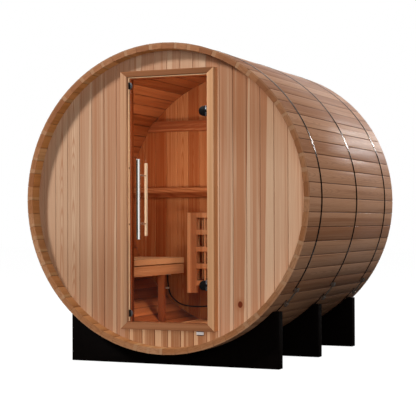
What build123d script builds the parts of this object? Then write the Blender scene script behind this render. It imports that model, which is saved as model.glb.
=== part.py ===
"""Barrel sauna: a coopered stave shell on three cradles, boarded end walls, a hinged glass door.

Millimetres, +Z up, ground at z = 0, barrel axis along Y, door end facing -Y, origin under the middle.
Depths named "from the front" are measured back from the door end of the staves.
Heights named "over axis" are measured from the barrel's axis and may be negative.
"""

import math
import os

from build123d import *

# Barrel shell
BARREL_DIAMETER = 1900.0
BARREL_LENGTH = 1806.0
BARREL_GROUND_GAP = 74.0
STAVE_THICKNESS = 38.0
STAVE_JOINT_GAP = 0.4
STAVE_EDGE_CHAMFER = 3.0
END_GROUP_STAVES = 8
SIDE_GROUP_STAVES = 10
DIAGONAL_GROUP_STAVES = 8

# Shared fits
SEAT_GAP = 0.3

# End walls
FRONT_RECESS = 79.0
WALL_THICKNESS = 38.0
REAR_RECESS = 416.0
WALL_RAIL_HEIGHT = 75.0
WALL_RAIL_DEPTH = 28.0
WALL_RAIL_HEIGHT_SHARES = (0.603, 0.076)

# Door frame
FRAME_WIDTH = 630.0
FRAME_HEAD_MARGIN = 58.5
FRAME_SILL_MARGIN = 44.5
FRAME_SIDE_SHIFT = 22.0
FRAME_PROUD = 59.0
JAMB_FACE = 45.0
HEAD_FACE = 36.0
SILL_FACE = 42.0
STOP_FACE = 10.0
STOP_DEPTH = 28.0

# Glass door
GLASS_THICKNESS = 8.0
GLASS_EDGE_GAP = 6.0
GLASS_SETBACK = 34.0
GLASS_TO_STOP = 8.0
GLASS_CORNER_RADIUS = 6.0

# Hinges
HINGE_FROM_HEAD = 224.5
HINGE_FROM_SILL = 233.0
HINGE_AXIS_FROM_JAMB = 9.0
HINGE_AXIS_BEFORE_GLASS = 5.0
KNUCKLE_RADIUS = 4.4
KNUCKLE_LENGTH = 22.0
PIN_RADIUS = 2.5
PIN_CLEARANCE = 0.05
LUG_LENGTH = 8.0
LUG_GAP = 0.5
LEAF_THICKNESS = 2.5
LEAF_WIDTH = 26.0
LEAF_MARGIN = 6.0
CLAMP_RADIUS = 30.0
CLAMP_CENTRE_FROM_JAMB = 35.5
CLAMP_FLAT_FROM_AXIS = 6.0
CLAMP_THICKNESS = 6.0
CLAMP_WING_WIDTH = 13.0
CLAMP_WING_HEIGHT = 64.0

# Magnetic catches at the free edge
CATCH_FROM_HEAD = 50.0
CATCH_FROM_SILL = 53.5
CATCH_HEIGHT = 43.0
CATCH_REACH = 18.0
CATCH_THICKNESS = 6.0
MAGNET_THICKNESS = 3.0

# Handle
HANDLE_FROM_FREE_EDGE = 75.0
HANDLE_OVER_SILL = 756.5
OUTER_BAR_DIAMETER = 27.0
OUTER_BAR_LENGTH = 496.0
OUTER_BAR_STANDOFF = 38.0
INNER_BAR_DIAMETER = 20.0
INNER_BAR_LENGTH = 453.0
INNER_BAR_STANDOFF = 65.0
POST_SPACING = 298.0
POST_DIAMETER = 10.0
BAR_END_ROUND = 3.0

# Bands and tensioners
BAND_FRONT_INSET = 216.0
BAND_REAR_INSET = 211.0
BAND_MIDDLE_SHARE = 0.5127
BAND_WIDTH = 20.0
BAND_THICKNESS = 1.5
BAND_GAP_ANGLE = 4.0
TENSIONER_OVER_CRADLE = 124.5
LUG_SPREAD_ANGLE = 6.4
TENSIONER_LUG_HEIGHT = 22.0
TENSIONER_LUG_LENGTH = 16.0
TENSIONER_LUG_WIDTH = 24.0
TENSIONER_ROD_DIAMETER = 9.0
TENSIONER_ROD_RISE = 12.0
TENSIONER_ROD_END = 18.0
NUT_ACROSS_FLATS = 15.0
NUT_THICKNESS = 7.0

# Cradles
CRADLE_FRONT_INSET = 140.0
CRADLE_REAR_INSET = 121.0
CRADLE_MIDDLE_SHARE = 0.5025
CRADLE_THICKNESS = 63.0
CRADLE_HALF_WIDTH = 705.0
CRADLE_END_HEIGHT = 344.0
BAND_RELIEF_SIDE = 3.0
BAND_RELIEF_DEPTH = 1.0

# Bench
BENCH_WALL_GAP = 8.8
BENCH_REAR_GAP = 201.0
SEAT_OVER_FLOOR = 450.0
SLAT_COUNT = 4
SLAT_WIDTH = 96.0
SLAT_GAP = 10.0
SLAT_THICKNESS = 40.0
SLAT_EDGE_ROUND = 4.0
APRON_THICKNESS = 28.0
APRON_HEIGHT = 67.0
APRON_DROP = 5.0
BEARER_HEIGHT = 60.0
BEARER_THICKNESS = 40.0
BEARER_FRONT_INSET = 34.0
BEARER_REAR_INSET = 10.0
LEG_SIZE = 40.0
LEG_FRONT_INSET = 44.0
MIDDLE_LEG_SHARE = 0.671

# Floor
FLOOR_OVER_STAVES = 70.7
FLOOR_THICKNESS = 28.0
FLOOR_END_GAP = 2.0

# Heater and its guard
GUARD_BENCH_GAP = 85.0
GUARD_DEPTH = 332.0
GUARD_OVER_FLOOR = 208.0
GUARD_HEIGHT = 553.0
GUARD_SIDE_THICKNESS = 32.0
GUARD_FRONT_THICKNESS = 28.0
GUARD_STILE_WIDTH = 38.0
GUARD_RAIL_COUNT = 5
GUARD_RAIL_HEIGHT = 35.0
GUARD_RAIL_PITCH = 117.0
GUARD_BAR_WIDTH = 12.0
GUARD_BAR_THICKNESS = 12.0
GUARD_FRONT_BARS = 6
GUARD_SIDE_BARS = 3
HEATER_SIDE_GAP = 63.0
HEATER_DEPTH = 215.0
HEATER_HEIGHT = 460.0
HEATER_OVER_FLOOR = 200.0
HEATER_CORNER = 18.0

# Heater lead along the back wall
LEAD_DIAMETER = 10.0
LEAD_WALL_GAP = 0.6
LEAD_BEND_RADIUS = 34.0
LEAD_BEHIND_BENCH = (220.0, 220.0, 152.0, 65.0)
LEAD_UNDER_GUARD = 5.0
LEAD_INTO_HEATER = 50.0
LEAD_OVER_FLOOR = (315.0, 195.0, 118.0, 90.0, 90.0, 124.0)
LEAD_BOX_WIDTH = 44.0
LEAD_BOX_HEIGHT = 34.0
LEAD_BOX_DEPTH = 26.0
CLIP_WIDTH = 24.0
CLIP_HEIGHT = 12.0
CLIP_DEPTH = 15.0
CLIP_FIT = 0.2
CLIP_OVER_FLOOR = 220.0

# Places that follow from the sizes above
STAVE_COUNT = 2 * END_GROUP_STAVES + 2 * SIDE_GROUP_STAVES + 4 * DIAGONAL_GROUP_STAVES
STAVE_STEP = 360.0 / STAVE_COUNT
BARREL_RADIUS = BARREL_DIAMETER / 2
AXIS_Z = BARREL_GROUND_GAP + BARREL_RADIUS
OUTER_FLAT = BARREL_RADIUS * math.cos(math.radians(STAVE_STEP / 2))
INNER_FLAT = OUTER_FLAT - STAVE_THICKNESS
ROOM_RADIUS = INNER_FLAT - SEAT_GAP

FRONT_Y = -BARREL_LENGTH / 2
REAR_Y = BARREL_LENGTH / 2
WALL_FACE_Y = FRONT_Y + FRONT_RECESS
CABIN_FRONT_Y = WALL_FACE_Y + WALL_THICKNESS
CABIN_REAR_Y = REAR_Y - REAR_RECESS - WALL_THICKNESS
CABIN_LENGTH = CABIN_REAR_Y - CABIN_FRONT_Y
BACK_FACE_Y = CABIN_REAR_Y + WALL_THICKNESS

FRAME_Y = WALL_FACE_Y - FRAME_PROUD
FRAME_LEFT = FRAME_SIDE_SHIFT - FRAME_WIDTH / 2
FRAME_RIGHT = FRAME_SIDE_SHIFT + FRAME_WIDTH / 2
FRAME_REACH = math.sqrt(ROOM_RADIUS**2 - max(-FRAME_LEFT, FRAME_RIGHT) ** 2)
FRAME_LOW = FRAME_SILL_MARGIN - FRAME_REACH
FRAME_HIGH = FRAME_REACH - FRAME_HEAD_MARGIN
WAY_LEFT = FRAME_LEFT + JAMB_FACE
WAY_RIGHT = FRAME_RIGHT - JAMB_FACE
WAY_LOW = FRAME_LOW + SILL_FACE
WAY_HIGH = FRAME_HIGH - HEAD_FACE

GLASS_FRONT_Y = FRAME_Y + GLASS_SETBACK
GLASS_BACK_Y = GLASS_FRONT_Y + GLASS_THICKNESS
GLASS_LEFT = WAY_LEFT + GLASS_EDGE_GAP
GLASS_RIGHT = WAY_RIGHT - GLASS_EDGE_GAP
GLASS_LOW = WAY_LOW + GLASS_EDGE_GAP
GLASS_HIGH = WAY_HIGH - GLASS_EDGE_GAP
STOP_Y = GLASS_BACK_Y + GLASS_TO_STOP

PIVOT_X = WAY_RIGHT - HINGE_AXIS_FROM_JAMB
PIVOT_Y = GLASS_FRONT_Y - HINGE_AXIS_BEFORE_GLASS
HINGE_CENTRES = (WAY_HIGH - HINGE_FROM_HEAD, WAY_LOW + HINGE_FROM_SILL)
CATCH_CENTRES = (WAY_HIGH - CATCH_FROM_HEAD, WAY_LOW + CATCH_FROM_SILL)
HANDLE_X = GLASS_LEFT + HANDLE_FROM_FREE_EDGE
HANDLE_CENTRE = WAY_LOW + HANDLE_OVER_SILL

FLOOR_TOP = FLOOR_OVER_STAVES - ROOM_RADIUS

SEAT_TOP = FLOOR_TOP + SEAT_OVER_FLOOR
SEAT_UNDER = SEAT_TOP - SLAT_THICKNESS
BENCH_DEPTH = SLAT_COUNT * SLAT_WIDTH + (SLAT_COUNT - 1) * SLAT_GAP
BENCH_FRONT_X = BENCH_DEPTH + BENCH_WALL_GAP - math.sqrt(ROOM_RADIUS**2 - SEAT_UNDER**2)
BENCH_LENGTH = CABIN_LENGTH - BENCH_REAR_GAP
MIDDLE_LEG = MIDDLE_LEG_SHARE * BENCH_LENGTH
APRON_TOP = SEAT_UNDER - APRON_DROP
APRON_LOW = APRON_TOP - APRON_HEIGHT
GUARD_Y = CABIN_REAR_Y - GUARD_DEPTH
GUARD_HALF_WIDTH = -BENCH_FRONT_X - GUARD_BENCH_GAP
GUARD_INNER = GUARD_HALF_WIDTH - GUARD_SIDE_THICKNESS
GUARD_FOOT = FLOOR_TOP + GUARD_OVER_FLOOR
GUARD_TOP = GUARD_FOOT + GUARD_HEIGHT
HEATER_FOOT = FLOOR_TOP + HEATER_OVER_FLOOR
HEATER_WIDTH = 2 * (GUARD_INNER - HEATER_SIDE_GAP)
LEAD_Y = CABIN_REAR_Y - LEAD_WALL_GAP - LEAD_DIAMETER / 2
BAND_INNER = BARREL_RADIUS + SEAT_GAP
BAND_OUTER = BAND_INNER + BAND_THICKNESS
CRADLE_END_ANGLE = -math.asin((AXIS_Z - CRADLE_END_HEIGHT) / BARREL_RADIUS)
TENSIONER_ANGLE = math.degrees(CRADLE_END_ANGLE + TENSIONER_OVER_CRADLE / BARREL_RADIUS)
BAND_PLACES = (
    FRONT_Y + BAND_FRONT_INSET,
    FRONT_Y + BAND_MIDDLE_SHARE * BARREL_LENGTH,
    REAR_Y - BAND_REAR_INSET,
)
CRADLE_PLACES = (
    FRONT_Y + CRADLE_FRONT_INSET,
    FRONT_Y + CRADLE_MIDDLE_SHARE * BARREL_LENGTH - CRADLE_THICKNESS / 2,
    REAR_Y - CRADLE_REAR_INSET - CRADLE_THICKNESS,
)


def across(y):
    """A plane square to the barrel's axis, seen from the door end; a solid grows from it towards -Y."""
    return Plane(origin=(0, y, AXIS_Z), x_dir=(1, 0, 0), z_dir=(0, -1, 0))


def level(over_axis):
    """A level plane at a height over the barrel's axis."""
    return Plane.XY.offset(AXIS_Z + over_axis)


def box_spot(x_low, x_high, low, high):
    """The middle of a rectangle drawn square to the axis."""
    return Locations(((x_low + x_high) / 2, (low + high) / 2))


os.makedirs("parts", exist_ok=True)


# Staves. Each is a flat-faced plank with radial edges and a small V at every joint.
def half_width(flat):
    return flat * math.tan(math.radians(STAVE_STEP / 2)) - STAVE_JOINT_GAP / 2


def stave_outline():
    side = [
        (INNER_FLAT, half_width(INNER_FLAT) - STAVE_EDGE_CHAMFER),
        (INNER_FLAT + STAVE_EDGE_CHAMFER, half_width(INNER_FLAT + STAVE_EDGE_CHAMFER)),
        (OUTER_FLAT - STAVE_EDGE_CHAMFER, half_width(OUTER_FLAT - STAVE_EDGE_CHAMFER)),
        (OUTER_FLAT, half_width(OUTER_FLAT) - STAVE_EDGE_CHAMFER),
    ]
    return side + [(r, -t) for r, t in reversed(side)]


def stave_group(name, middle_angle, count):
    first = middle_angle - (count - 1) * STAVE_STEP / 2
    with BuildPart() as group:
        with BuildSketch(across(REAR_Y)):
            with PolarLocations(0, count, first, count * STAVE_STEP):
                Polygon(*stave_outline(), align=None)
        extrude(amount=BARREL_LENGTH)
    group.part.label = name
    export_step(group.part, "parts/" + name + ".step")


half_side = SIDE_GROUP_STAVES * STAVE_STEP / 2
diagonal = half_side + DIAGONAL_GROUP_STAVES * STAVE_STEP / 2
stave_group("right_staves", 0, SIDE_GROUP_STAVES)
stave_group("upper_right_staves", diagonal, DIAGONAL_GROUP_STAVES)
stave_group("top_staves", 90, END_GROUP_STAVES)
stave_group("upper_left_staves", 180 - diagonal, DIAGONAL_GROUP_STAVES)
stave_group("left_staves", 180, SIDE_GROUP_STAVES)
stave_group("lower_left_staves", 180 + diagonal, DIAGONAL_GROUP_STAVES)
stave_group("bottom_staves", 270, END_GROUP_STAVES)
stave_group("lower_right_staves", 360 - diagonal, DIAGONAL_GROUP_STAVES)


# Cradles. A plank with a saddle cut to the barrel and a shallow relief where a band crosses it.
def cradle(name, face_y):
    back_y = face_y + CRADLE_THICKNESS
    with BuildPart() as plank:
        with BuildSketch(across(back_y)):
            with box_spot(-CRADLE_HALF_WIDTH, CRADLE_HALF_WIDTH, -AXIS_Z, CRADLE_END_HEIGHT - AXIS_Z):
                Rectangle(2 * CRADLE_HALF_WIDTH, CRADLE_END_HEIGHT)
            Circle(BARREL_RADIUS + SEAT_GAP, mode=Mode.SUBTRACT)
        extrude(amount=CRADLE_THICKNESS)
        for band_y in BAND_PLACES:
            relief = BAND_WIDTH / 2 + BAND_RELIEF_SIDE
            if band_y + relief > face_y and band_y - relief < back_y:
                with BuildSketch(across(band_y + relief)):
                    Circle(BAND_OUTER + BAND_RELIEF_DEPTH)
                extrude(amount=2 * relief, mode=Mode.SUBTRACT)
    plank.part.label = name
    export_step(plank.part, "parts/" + name + ".step")


for cradle_name, cradle_y in zip(("front_cradle", "middle_cradle", "rear_cradle"), CRADLE_PLACES):
    cradle(cradle_name, cradle_y)

# Bands. Each is a strap left open between the lugs of its tensioner.
with BuildPart() as bands:
    for band_y in BAND_PLACES:
        with BuildSketch(across(band_y + BAND_WIDTH / 2)):
            Circle(BAND_OUTER)
            Circle(BAND_INNER, mode=Mode.SUBTRACT)
            gap_half = math.tan(math.radians(BAND_GAP_ANGLE / 2)) * BARREL_DIAMETER
            with PolarLocations(0, 1, TENSIONER_ANGLE, 360):
                Polygon(
                    (0, 0),
                    (BARREL_DIAMETER, -gap_half),
                    (BARREL_DIAMETER, gap_half),
                    align=None,
                    mode=Mode.SUBTRACT,
                )
        extrude(amount=BAND_WIDTH)
bands.part.label = "bands"
export_step(bands.part, "parts/bands.step")

# Tensioners. Two lugs seated on the strap, drawn together by a threaded rod with nuts.
lean = math.radians(TENSIONER_ANGLE)
rod_radius_out = BAND_OUTER + TENSIONER_ROD_RISE
rod_half = rod_radius_out * math.tan(math.radians(LUG_SPREAD_ANGLE / 2)) + TENSIONER_ROD_END
nut_place = rod_half - TENSIONER_ROD_END + TENSIONER_LUG_LENGTH / 2
with BuildPart() as tensioners:
    for band_y in BAND_PLACES:
        with BuildSketch(across(band_y + TENSIONER_LUG_WIDTH / 2)):
            with PolarLocations(
                BAND_OUTER,
                2,
                TENSIONER_ANGLE - LUG_SPREAD_ANGLE / 2,
                2 * LUG_SPREAD_ANGLE,
            ):
                Rectangle(2 * TENSIONER_LUG_HEIGHT, TENSIONER_LUG_LENGTH)
            Circle(BAND_OUTER + SEAT_GAP, mode=Mode.SUBTRACT)
        extrude(amount=TENSIONER_LUG_WIDTH)
        rod_plane = Plane(
            origin=(
                rod_radius_out * math.cos(lean),
                band_y,
                AXIS_Z + rod_radius_out * math.sin(lean),
            ),
            x_dir=(0, 1, 0),
            z_dir=(-math.sin(lean), 0, math.cos(lean)),
        )
        with BuildSketch(rod_plane):
            Circle(TENSIONER_ROD_DIAMETER / 2)
        extrude(amount=rod_half, both=True)
        for side in (-1, 1):
            with BuildSketch(rod_plane.offset(side * nut_place)):
                RegularPolygon(NUT_ACROSS_FLATS / 2, 6, major_radius=False)
            extrude(amount=side * NUT_THICKNESS)
tensioners.part.label = "tensioners"
export_step(tensioners.part, "parts/tensioners.step")


# End walls. The front one is split round its doorway.
def wall_piece(name, rear_y, x_low, x_high, low, high):
    with BuildPart() as piece:
        with BuildSketch(across(rear_y)):
            Circle(ROOM_RADIUS)
            with box_spot(x_low, x_high, low, high):
                Rectangle(x_high - x_low, high - low, mode=Mode.INTERSECT)
        extrude(amount=WALL_THICKNESS)
    piece.part.label = name
    export_step(piece.part, "parts/" + name + ".step")


wall_piece(
    "front_wall_left", CABIN_FRONT_Y, -BARREL_RADIUS, FRAME_LEFT, -BARREL_RADIUS, BARREL_RADIUS
)
wall_piece(
    "front_wall_right", CABIN_FRONT_Y, FRAME_RIGHT, BARREL_RADIUS, -BARREL_RADIUS, BARREL_RADIUS
)
wall_piece("front_wall_over_door", CABIN_FRONT_Y, FRAME_LEFT, FRAME_RIGHT, FRAME_HIGH, BARREL_RADIUS)
wall_piece("front_wall_under_door", CABIN_FRONT_Y, FRAME_LEFT, FRAME_RIGHT, -BARREL_RADIUS, FRAME_LOW)
wall_piece(
    "back_wall", BACK_FACE_Y, -BARREL_RADIUS, BARREL_RADIUS, -BARREL_RADIUS, BARREL_RADIUS
)

with BuildPart() as wall_rails:
    with BuildSketch(across(CABIN_REAR_Y)):
        Circle(ROOM_RADIUS)
        with Locations([(0, share * ROOM_RADIUS) for share in WALL_RAIL_HEIGHT_SHARES]):
            Rectangle(BARREL_DIAMETER, WALL_RAIL_HEIGHT, mode=Mode.INTERSECT)
    extrude(amount=WALL_RAIL_DEPTH)
wall_rails.part.label = "wall_rails"
export_step(wall_rails.part, "parts/wall_rails.step")


# Door frame. Four mitred members go through the wall and stand proud of it.
def frame_member(name, corners):
    with BuildPart() as member:
        with BuildSketch(across(CABIN_FRONT_Y)):
            Polygon(*corners, align=None)
        extrude(amount=FRAME_PROUD + WALL_THICKNESS)
    member.part.label = name
    export_step(member.part, "parts/" + name + ".step")


outer = [
    (FRAME_LEFT, FRAME_LOW),
    (FRAME_RIGHT, FRAME_LOW),
    (FRAME_RIGHT, FRAME_HIGH),
    (FRAME_LEFT, FRAME_HIGH),
]
inner = [(WAY_LEFT, WAY_LOW), (WAY_RIGHT, WAY_LOW), (WAY_RIGHT, WAY_HIGH), (WAY_LEFT, WAY_HIGH)]
frame_names = ("door_sill", "right_jamb", "door_head", "left_jamb")
for place, frame_name in enumerate(frame_names):
    after = (place + 1) % len(frame_names)
    frame_member(frame_name, [outer[place], outer[after], inner[after], inner[place]])


def door_stop(name, x_low, x_high, low, high):
    with BuildPart() as stop:
        with BuildSketch(across(STOP_Y + STOP_DEPTH)):
            with box_spot(x_low, x_high, low, high):
                Rectangle(x_high - x_low, high - low)
        extrude(amount=STOP_DEPTH)
    stop.part.label = name
    export_step(stop.part, "parts/" + name + ".step")


door_stop("left_stop", WAY_LEFT, WAY_LEFT + STOP_FACE, WAY_LOW, WAY_HIGH)
door_stop("right_stop", WAY_RIGHT - STOP_FACE, WAY_RIGHT, WAY_LOW, WAY_HIGH)
door_stop("head_stop", WAY_LEFT + STOP_FACE, WAY_RIGHT - STOP_FACE, WAY_HIGH - STOP_FACE, WAY_HIGH)

# Glass door, hung at its right edge
with BuildPart() as door_glass:
    with BuildSketch(across(GLASS_BACK_Y)):
        with box_spot(GLASS_LEFT, GLASS_RIGHT, GLASS_LOW, GLASS_HIGH):
            RectangleRounded(GLASS_RIGHT - GLASS_LEFT, GLASS_HIGH - GLASS_LOW, GLASS_CORNER_RADIUS)
    extrude(amount=GLASS_THICKNESS)
door_glass.part.label = "door_glass"
export_step(door_glass.part, "parts/door_glass.step")

# Hinges. A jamb leaf with two lugs holds the pin; the clamp on the glass, a disc with a wing, turns on it.
half_pin = KNUCKLE_LENGTH / 2 + LUG_GAP + LUG_LENGTH
with BuildPart() as hinge_brackets:
    for centre in HINGE_CENTRES:
        with BuildSketch(level(centre - half_pin - LEAF_MARGIN)):
            with Locations((WAY_RIGHT - LEAF_THICKNESS / 2, PIVOT_Y)):
                Rectangle(LEAF_THICKNESS, LEAF_WIDTH)
        extrude(amount=2 * (half_pin + LEAF_MARGIN))
        for lug_low in (centre - half_pin, centre + half_pin - LUG_LENGTH):
            with BuildSketch(level(lug_low)):
                with Locations((PIVOT_X, PIVOT_Y)):
                    Circle(KNUCKLE_RADIUS)
                with Locations(((PIVOT_X + WAY_RIGHT) / 2, PIVOT_Y)):
                    Rectangle(HINGE_AXIS_FROM_JAMB, 2 * KNUCKLE_RADIUS)
            extrude(amount=LUG_LENGTH)
        with BuildSketch(level(centre - half_pin)):
            with Locations((PIVOT_X, PIVOT_Y)):
                Circle(PIN_RADIUS)
        extrude(amount=2 * half_pin)
hinge_brackets.part.label = "hinge_brackets"
export_step(hinge_brackets.part, "parts/hinge_brackets.step")

clamp_x = WAY_RIGHT - CLAMP_CENTRE_FROM_JAMB
clamp_flat = PIVOT_X - CLAMP_FLAT_FROM_AXIS
with BuildPart() as hinge_clamps:
    for centre in HINGE_CENTRES:
        for plate_back in (GLASS_FRONT_Y, GLASS_BACK_Y + CLAMP_THICKNESS):
            with BuildSketch(across(plate_back)):
                with Locations((clamp_x, centre)):
                    Circle(CLAMP_RADIUS)
                with Locations((clamp_flat - CLAMP_RADIUS, centre)):
                    Rectangle(2 * CLAMP_RADIUS, 2 * CLAMP_RADIUS, mode=Mode.INTERSECT)
                with Locations((clamp_flat - CLAMP_WING_WIDTH / 2, centre)):
                    Rectangle(CLAMP_WING_WIDTH, CLAMP_WING_HEIGHT)
            extrude(amount=CLAMP_THICKNESS)
        with BuildSketch(level(centre - KNUCKLE_LENGTH / 2)):
            with Locations((PIVOT_X, PIVOT_Y)):
                Circle(KNUCKLE_RADIUS)
            with Locations(((clamp_flat + PIVOT_X) / 2, PIVOT_Y)):
                Rectangle(CLAMP_FLAT_FROM_AXIS, KNUCKLE_RADIUS)
            with Locations((PIVOT_X, PIVOT_Y)):
                Circle(PIN_RADIUS + PIN_CLEARANCE, mode=Mode.SUBTRACT)
        extrude(amount=KNUCKLE_LENGTH)
hinge_clamps.part.label = "hinge_clamps"
export_step(hinge_clamps.part, "parts/hinge_clamps.step")

# Catches. A D-shaped plate on the glass and a magnet on the stop behind it.
catch_radius = ((CATCH_HEIGHT / 2) ** 2 + CATCH_REACH**2) / (2 * CATCH_REACH)
with BuildPart() as catch_plates:
    with BuildSketch(across(GLASS_FRONT_Y)):
        with Locations([(GLASS_LEFT + CATCH_REACH - catch_radius, end) for end in CATCH_CENTRES]):
            Circle(catch_radius)
        with box_spot(GLASS_LEFT, GLASS_RIGHT, GLASS_LOW, GLASS_HIGH):
            Rectangle(GLASS_RIGHT - GLASS_LEFT, GLASS_HIGH - GLASS_LOW, mode=Mode.INTERSECT)
    extrude(amount=CATCH_THICKNESS)
catch_plates.part.label = "catch_plates"
export_step(catch_plates.part, "parts/catch_plates.step")

with BuildPart() as catch_magnets:
    with BuildSketch(across(STOP_Y)):
        with Locations([(WAY_LEFT + STOP_FACE / 2, end) for end in CATCH_CENTRES]):
            Rectangle(STOP_FACE, CATCH_HEIGHT)
    extrude(amount=MAGNET_THICKNESS)
catch_magnets.part.label = "catch_magnets"
export_step(catch_magnets.part, "parts/catch_magnets.step")

# Handle. A steel bar outside and a wooden one inside share two through posts.
outer_bar_y = GLASS_FRONT_Y - OUTER_BAR_STANDOFF
inner_bar_y = GLASS_BACK_Y + INNER_BAR_STANDOFF
post_spots = [(HANDLE_X, HANDLE_CENTRE + side * POST_SPACING / 2) for side in (-1, 1)]
with BuildPart() as outer_handle:
    with BuildSketch(level(HANDLE_CENTRE - OUTER_BAR_LENGTH / 2)):
        with Locations((HANDLE_X, outer_bar_y)):
            Circle(OUTER_BAR_DIAMETER / 2)
    extrude(amount=OUTER_BAR_LENGTH)
    fillet(outer_handle.edges().filter_by(GeomType.CIRCLE), BAR_END_ROUND)
    with BuildSketch(across(GLASS_FRONT_Y)):
        with Locations(post_spots):
            Circle(POST_DIAMETER / 2)
    extrude(amount=OUTER_BAR_STANDOFF)
outer_handle.part.label = "outer_handle"
export_step(outer_handle.part, "parts/outer_handle.step")

with BuildPart() as inner_handle:
    with BuildSketch(level(HANDLE_CENTRE - INNER_BAR_LENGTH / 2)):
        with Locations((HANDLE_X, inner_bar_y)):
            Circle(INNER_BAR_DIAMETER / 2)
    extrude(amount=INNER_BAR_LENGTH)
    fillet(inner_handle.edges().filter_by(GeomType.CIRCLE), BAR_END_ROUND)
inner_handle.part.label = "inner_handle"
export_step(inner_handle.part, "parts/inner_handle.step")

with BuildPart() as handle_posts:
    with BuildSketch(across(inner_bar_y)):
        with Locations(post_spots):
            Circle(POST_DIAMETER / 2)
    extrude(amount=INNER_BAR_STANDOFF)
    with BuildSketch(level(HANDLE_CENTRE - INNER_BAR_LENGTH / 2)):
        with Locations((HANDLE_X, inner_bar_y)):
            Circle(INNER_BAR_DIAMETER / 2)
    extrude(amount=INNER_BAR_LENGTH, mode=Mode.SUBTRACT)
handle_posts.part.label = "handle_posts"
export_step(handle_posts.part, "parts/handle_posts.step")

# Bench on the left: slats on bearers, an apron, legs scribed to the staves
bench_rear_y = CABIN_FRONT_Y + BENCH_LENGTH
slat_step = SLAT_WIDTH + SLAT_GAP
slat_middle = SEAT_TOP - SLAT_THICKNESS / 2
with BuildPart() as bench_seat:
    with BuildSketch(across(bench_rear_y)):
        with Locations(
            [(BENCH_FRONT_X - SLAT_WIDTH / 2 - slat * slat_step, slat_middle) for slat in range(SLAT_COUNT)]
        ):
            RectangleRounded(SLAT_WIDTH, SLAT_THICKNESS, SLAT_EDGE_ROUND)
    extrude(amount=BENCH_LENGTH)
bench_seat.part.label = "bench_seat"
export_step(bench_seat.part, "parts/bench_seat.step")

with BuildPart() as bench_apron:
    with BuildSketch(across(bench_rear_y)):
        with box_spot(BENCH_FRONT_X - APRON_THICKNESS, BENCH_FRONT_X, APRON_LOW, APRON_TOP):
            Rectangle(APRON_THICKNESS, APRON_HEIGHT)
    extrude(amount=BENCH_LENGTH)
bench_apron.part.label = "bench_apron"
export_step(bench_apron.part, "parts/bench_apron.step")

with BuildPart() as bench_bearers:
    for from_wall in (BEARER_FRONT_INSET, MIDDLE_LEG, BENCH_LENGTH - BEARER_REAR_INSET - BEARER_THICKNESS):
        with BuildSketch(across(CABIN_FRONT_Y + from_wall + BEARER_THICKNESS)):
            Circle(ROOM_RADIUS)
            with box_spot(
                -BARREL_RADIUS, BENCH_FRONT_X - APRON_THICKNESS, SEAT_UNDER - BEARER_HEIGHT, SEAT_UNDER
            ):
                Rectangle(
                    BARREL_RADIUS + BENCH_FRONT_X - APRON_THICKNESS, BEARER_HEIGHT, mode=Mode.INTERSECT
                )
        extrude(amount=BEARER_THICKNESS)
bench_bearers.part.label = "bench_bearers"
export_step(bench_bearers.part, "parts/bench_bearers.step")

with BuildPart() as bench_legs:
    for from_wall in (LEG_FRONT_INSET, MIDDLE_LEG):
        with BuildSketch(across(CABIN_FRONT_Y + from_wall + LEG_SIZE)):
            Circle(ROOM_RADIUS)
            with box_spot(BENCH_FRONT_X - LEG_SIZE, BENCH_FRONT_X, FLOOR_TOP, APRON_LOW):
                Rectangle(LEG_SIZE, APRON_LOW - FLOOR_TOP, mode=Mode.INTERSECT)
        extrude(amount=LEG_SIZE)
bench_legs.part.label = "bench_legs"
export_step(bench_legs.part, "parts/bench_legs.step")

# Floor, a flat deck scribed between the lower staves
with BuildPart() as floor_deck:
    with BuildSketch(across(CABIN_REAR_Y - FLOOR_END_GAP)):
        Circle(ROOM_RADIUS)
        with box_spot(
            -BARREL_RADIUS, BARREL_RADIUS, FLOOR_TOP - FLOOR_THICKNESS, FLOOR_TOP
        ):
            Rectangle(BARREL_DIAMETER, FLOOR_THICKNESS, mode=Mode.INTERSECT)
    extrude(amount=CABIN_LENGTH - 2 * FLOOR_END_GAP)
floor_deck.part.label = "floor_deck"
export_step(floor_deck.part, "parts/floor_deck.step")


# Heater guard. Each panel is a ladder of rails between two stiles with thin upright bars.
def guard_panel(name, plane, low_side, high_side, thickness, bars):
    width = high_side - low_side
    foot, top = GUARD_FOOT, GUARD_TOP
    clear = width - 2 * GUARD_STILE_WIDTH
    bar_step = (clear + GUARD_BAR_WIDTH) / (bars + 1)
    last_rail = top - GUARD_RAIL_HEIGHT - (GUARD_RAIL_COUNT - 1) * GUARD_RAIL_PITCH
    middle = (low_side + high_side) / 2
    with BuildPart() as panel:
        with BuildSketch(plane):
            for stile in (low_side + GUARD_STILE_WIDTH / 2, high_side - GUARD_STILE_WIDTH / 2):
                with Locations((stile, (foot + top) / 2)):
                    Rectangle(GUARD_STILE_WIDTH, top - foot)
            for rail in range(GUARD_RAIL_COUNT):
                with Locations((middle, top - GUARD_RAIL_HEIGHT / 2 - rail * GUARD_RAIL_PITCH)):
                    Rectangle(width - GUARD_STILE_WIDTH, GUARD_RAIL_HEIGHT)
        extrude(amount=thickness)
        with BuildSketch(plane.offset((thickness - GUARD_BAR_THICKNESS) / 2)):
            for bar in range(bars):
                spot = low_side + GUARD_STILE_WIDTH - GUARD_BAR_WIDTH / 2 + (bar + 1) * bar_step
                with Locations((spot, (last_rail + top) / 2)):
                    Rectangle(GUARD_BAR_WIDTH, top - last_rail)
        extrude(amount=GUARD_BAR_THICKNESS)
    panel.part.label = name
    export_step(panel.part, "parts/" + name + ".step")


def along(x):
    """A plane facing -X whose own x runs back along the barrel."""
    return Plane(origin=(x, 0, AXIS_Z), x_dir=(0, 1, 0), z_dir=(1, 0, 0))


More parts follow.
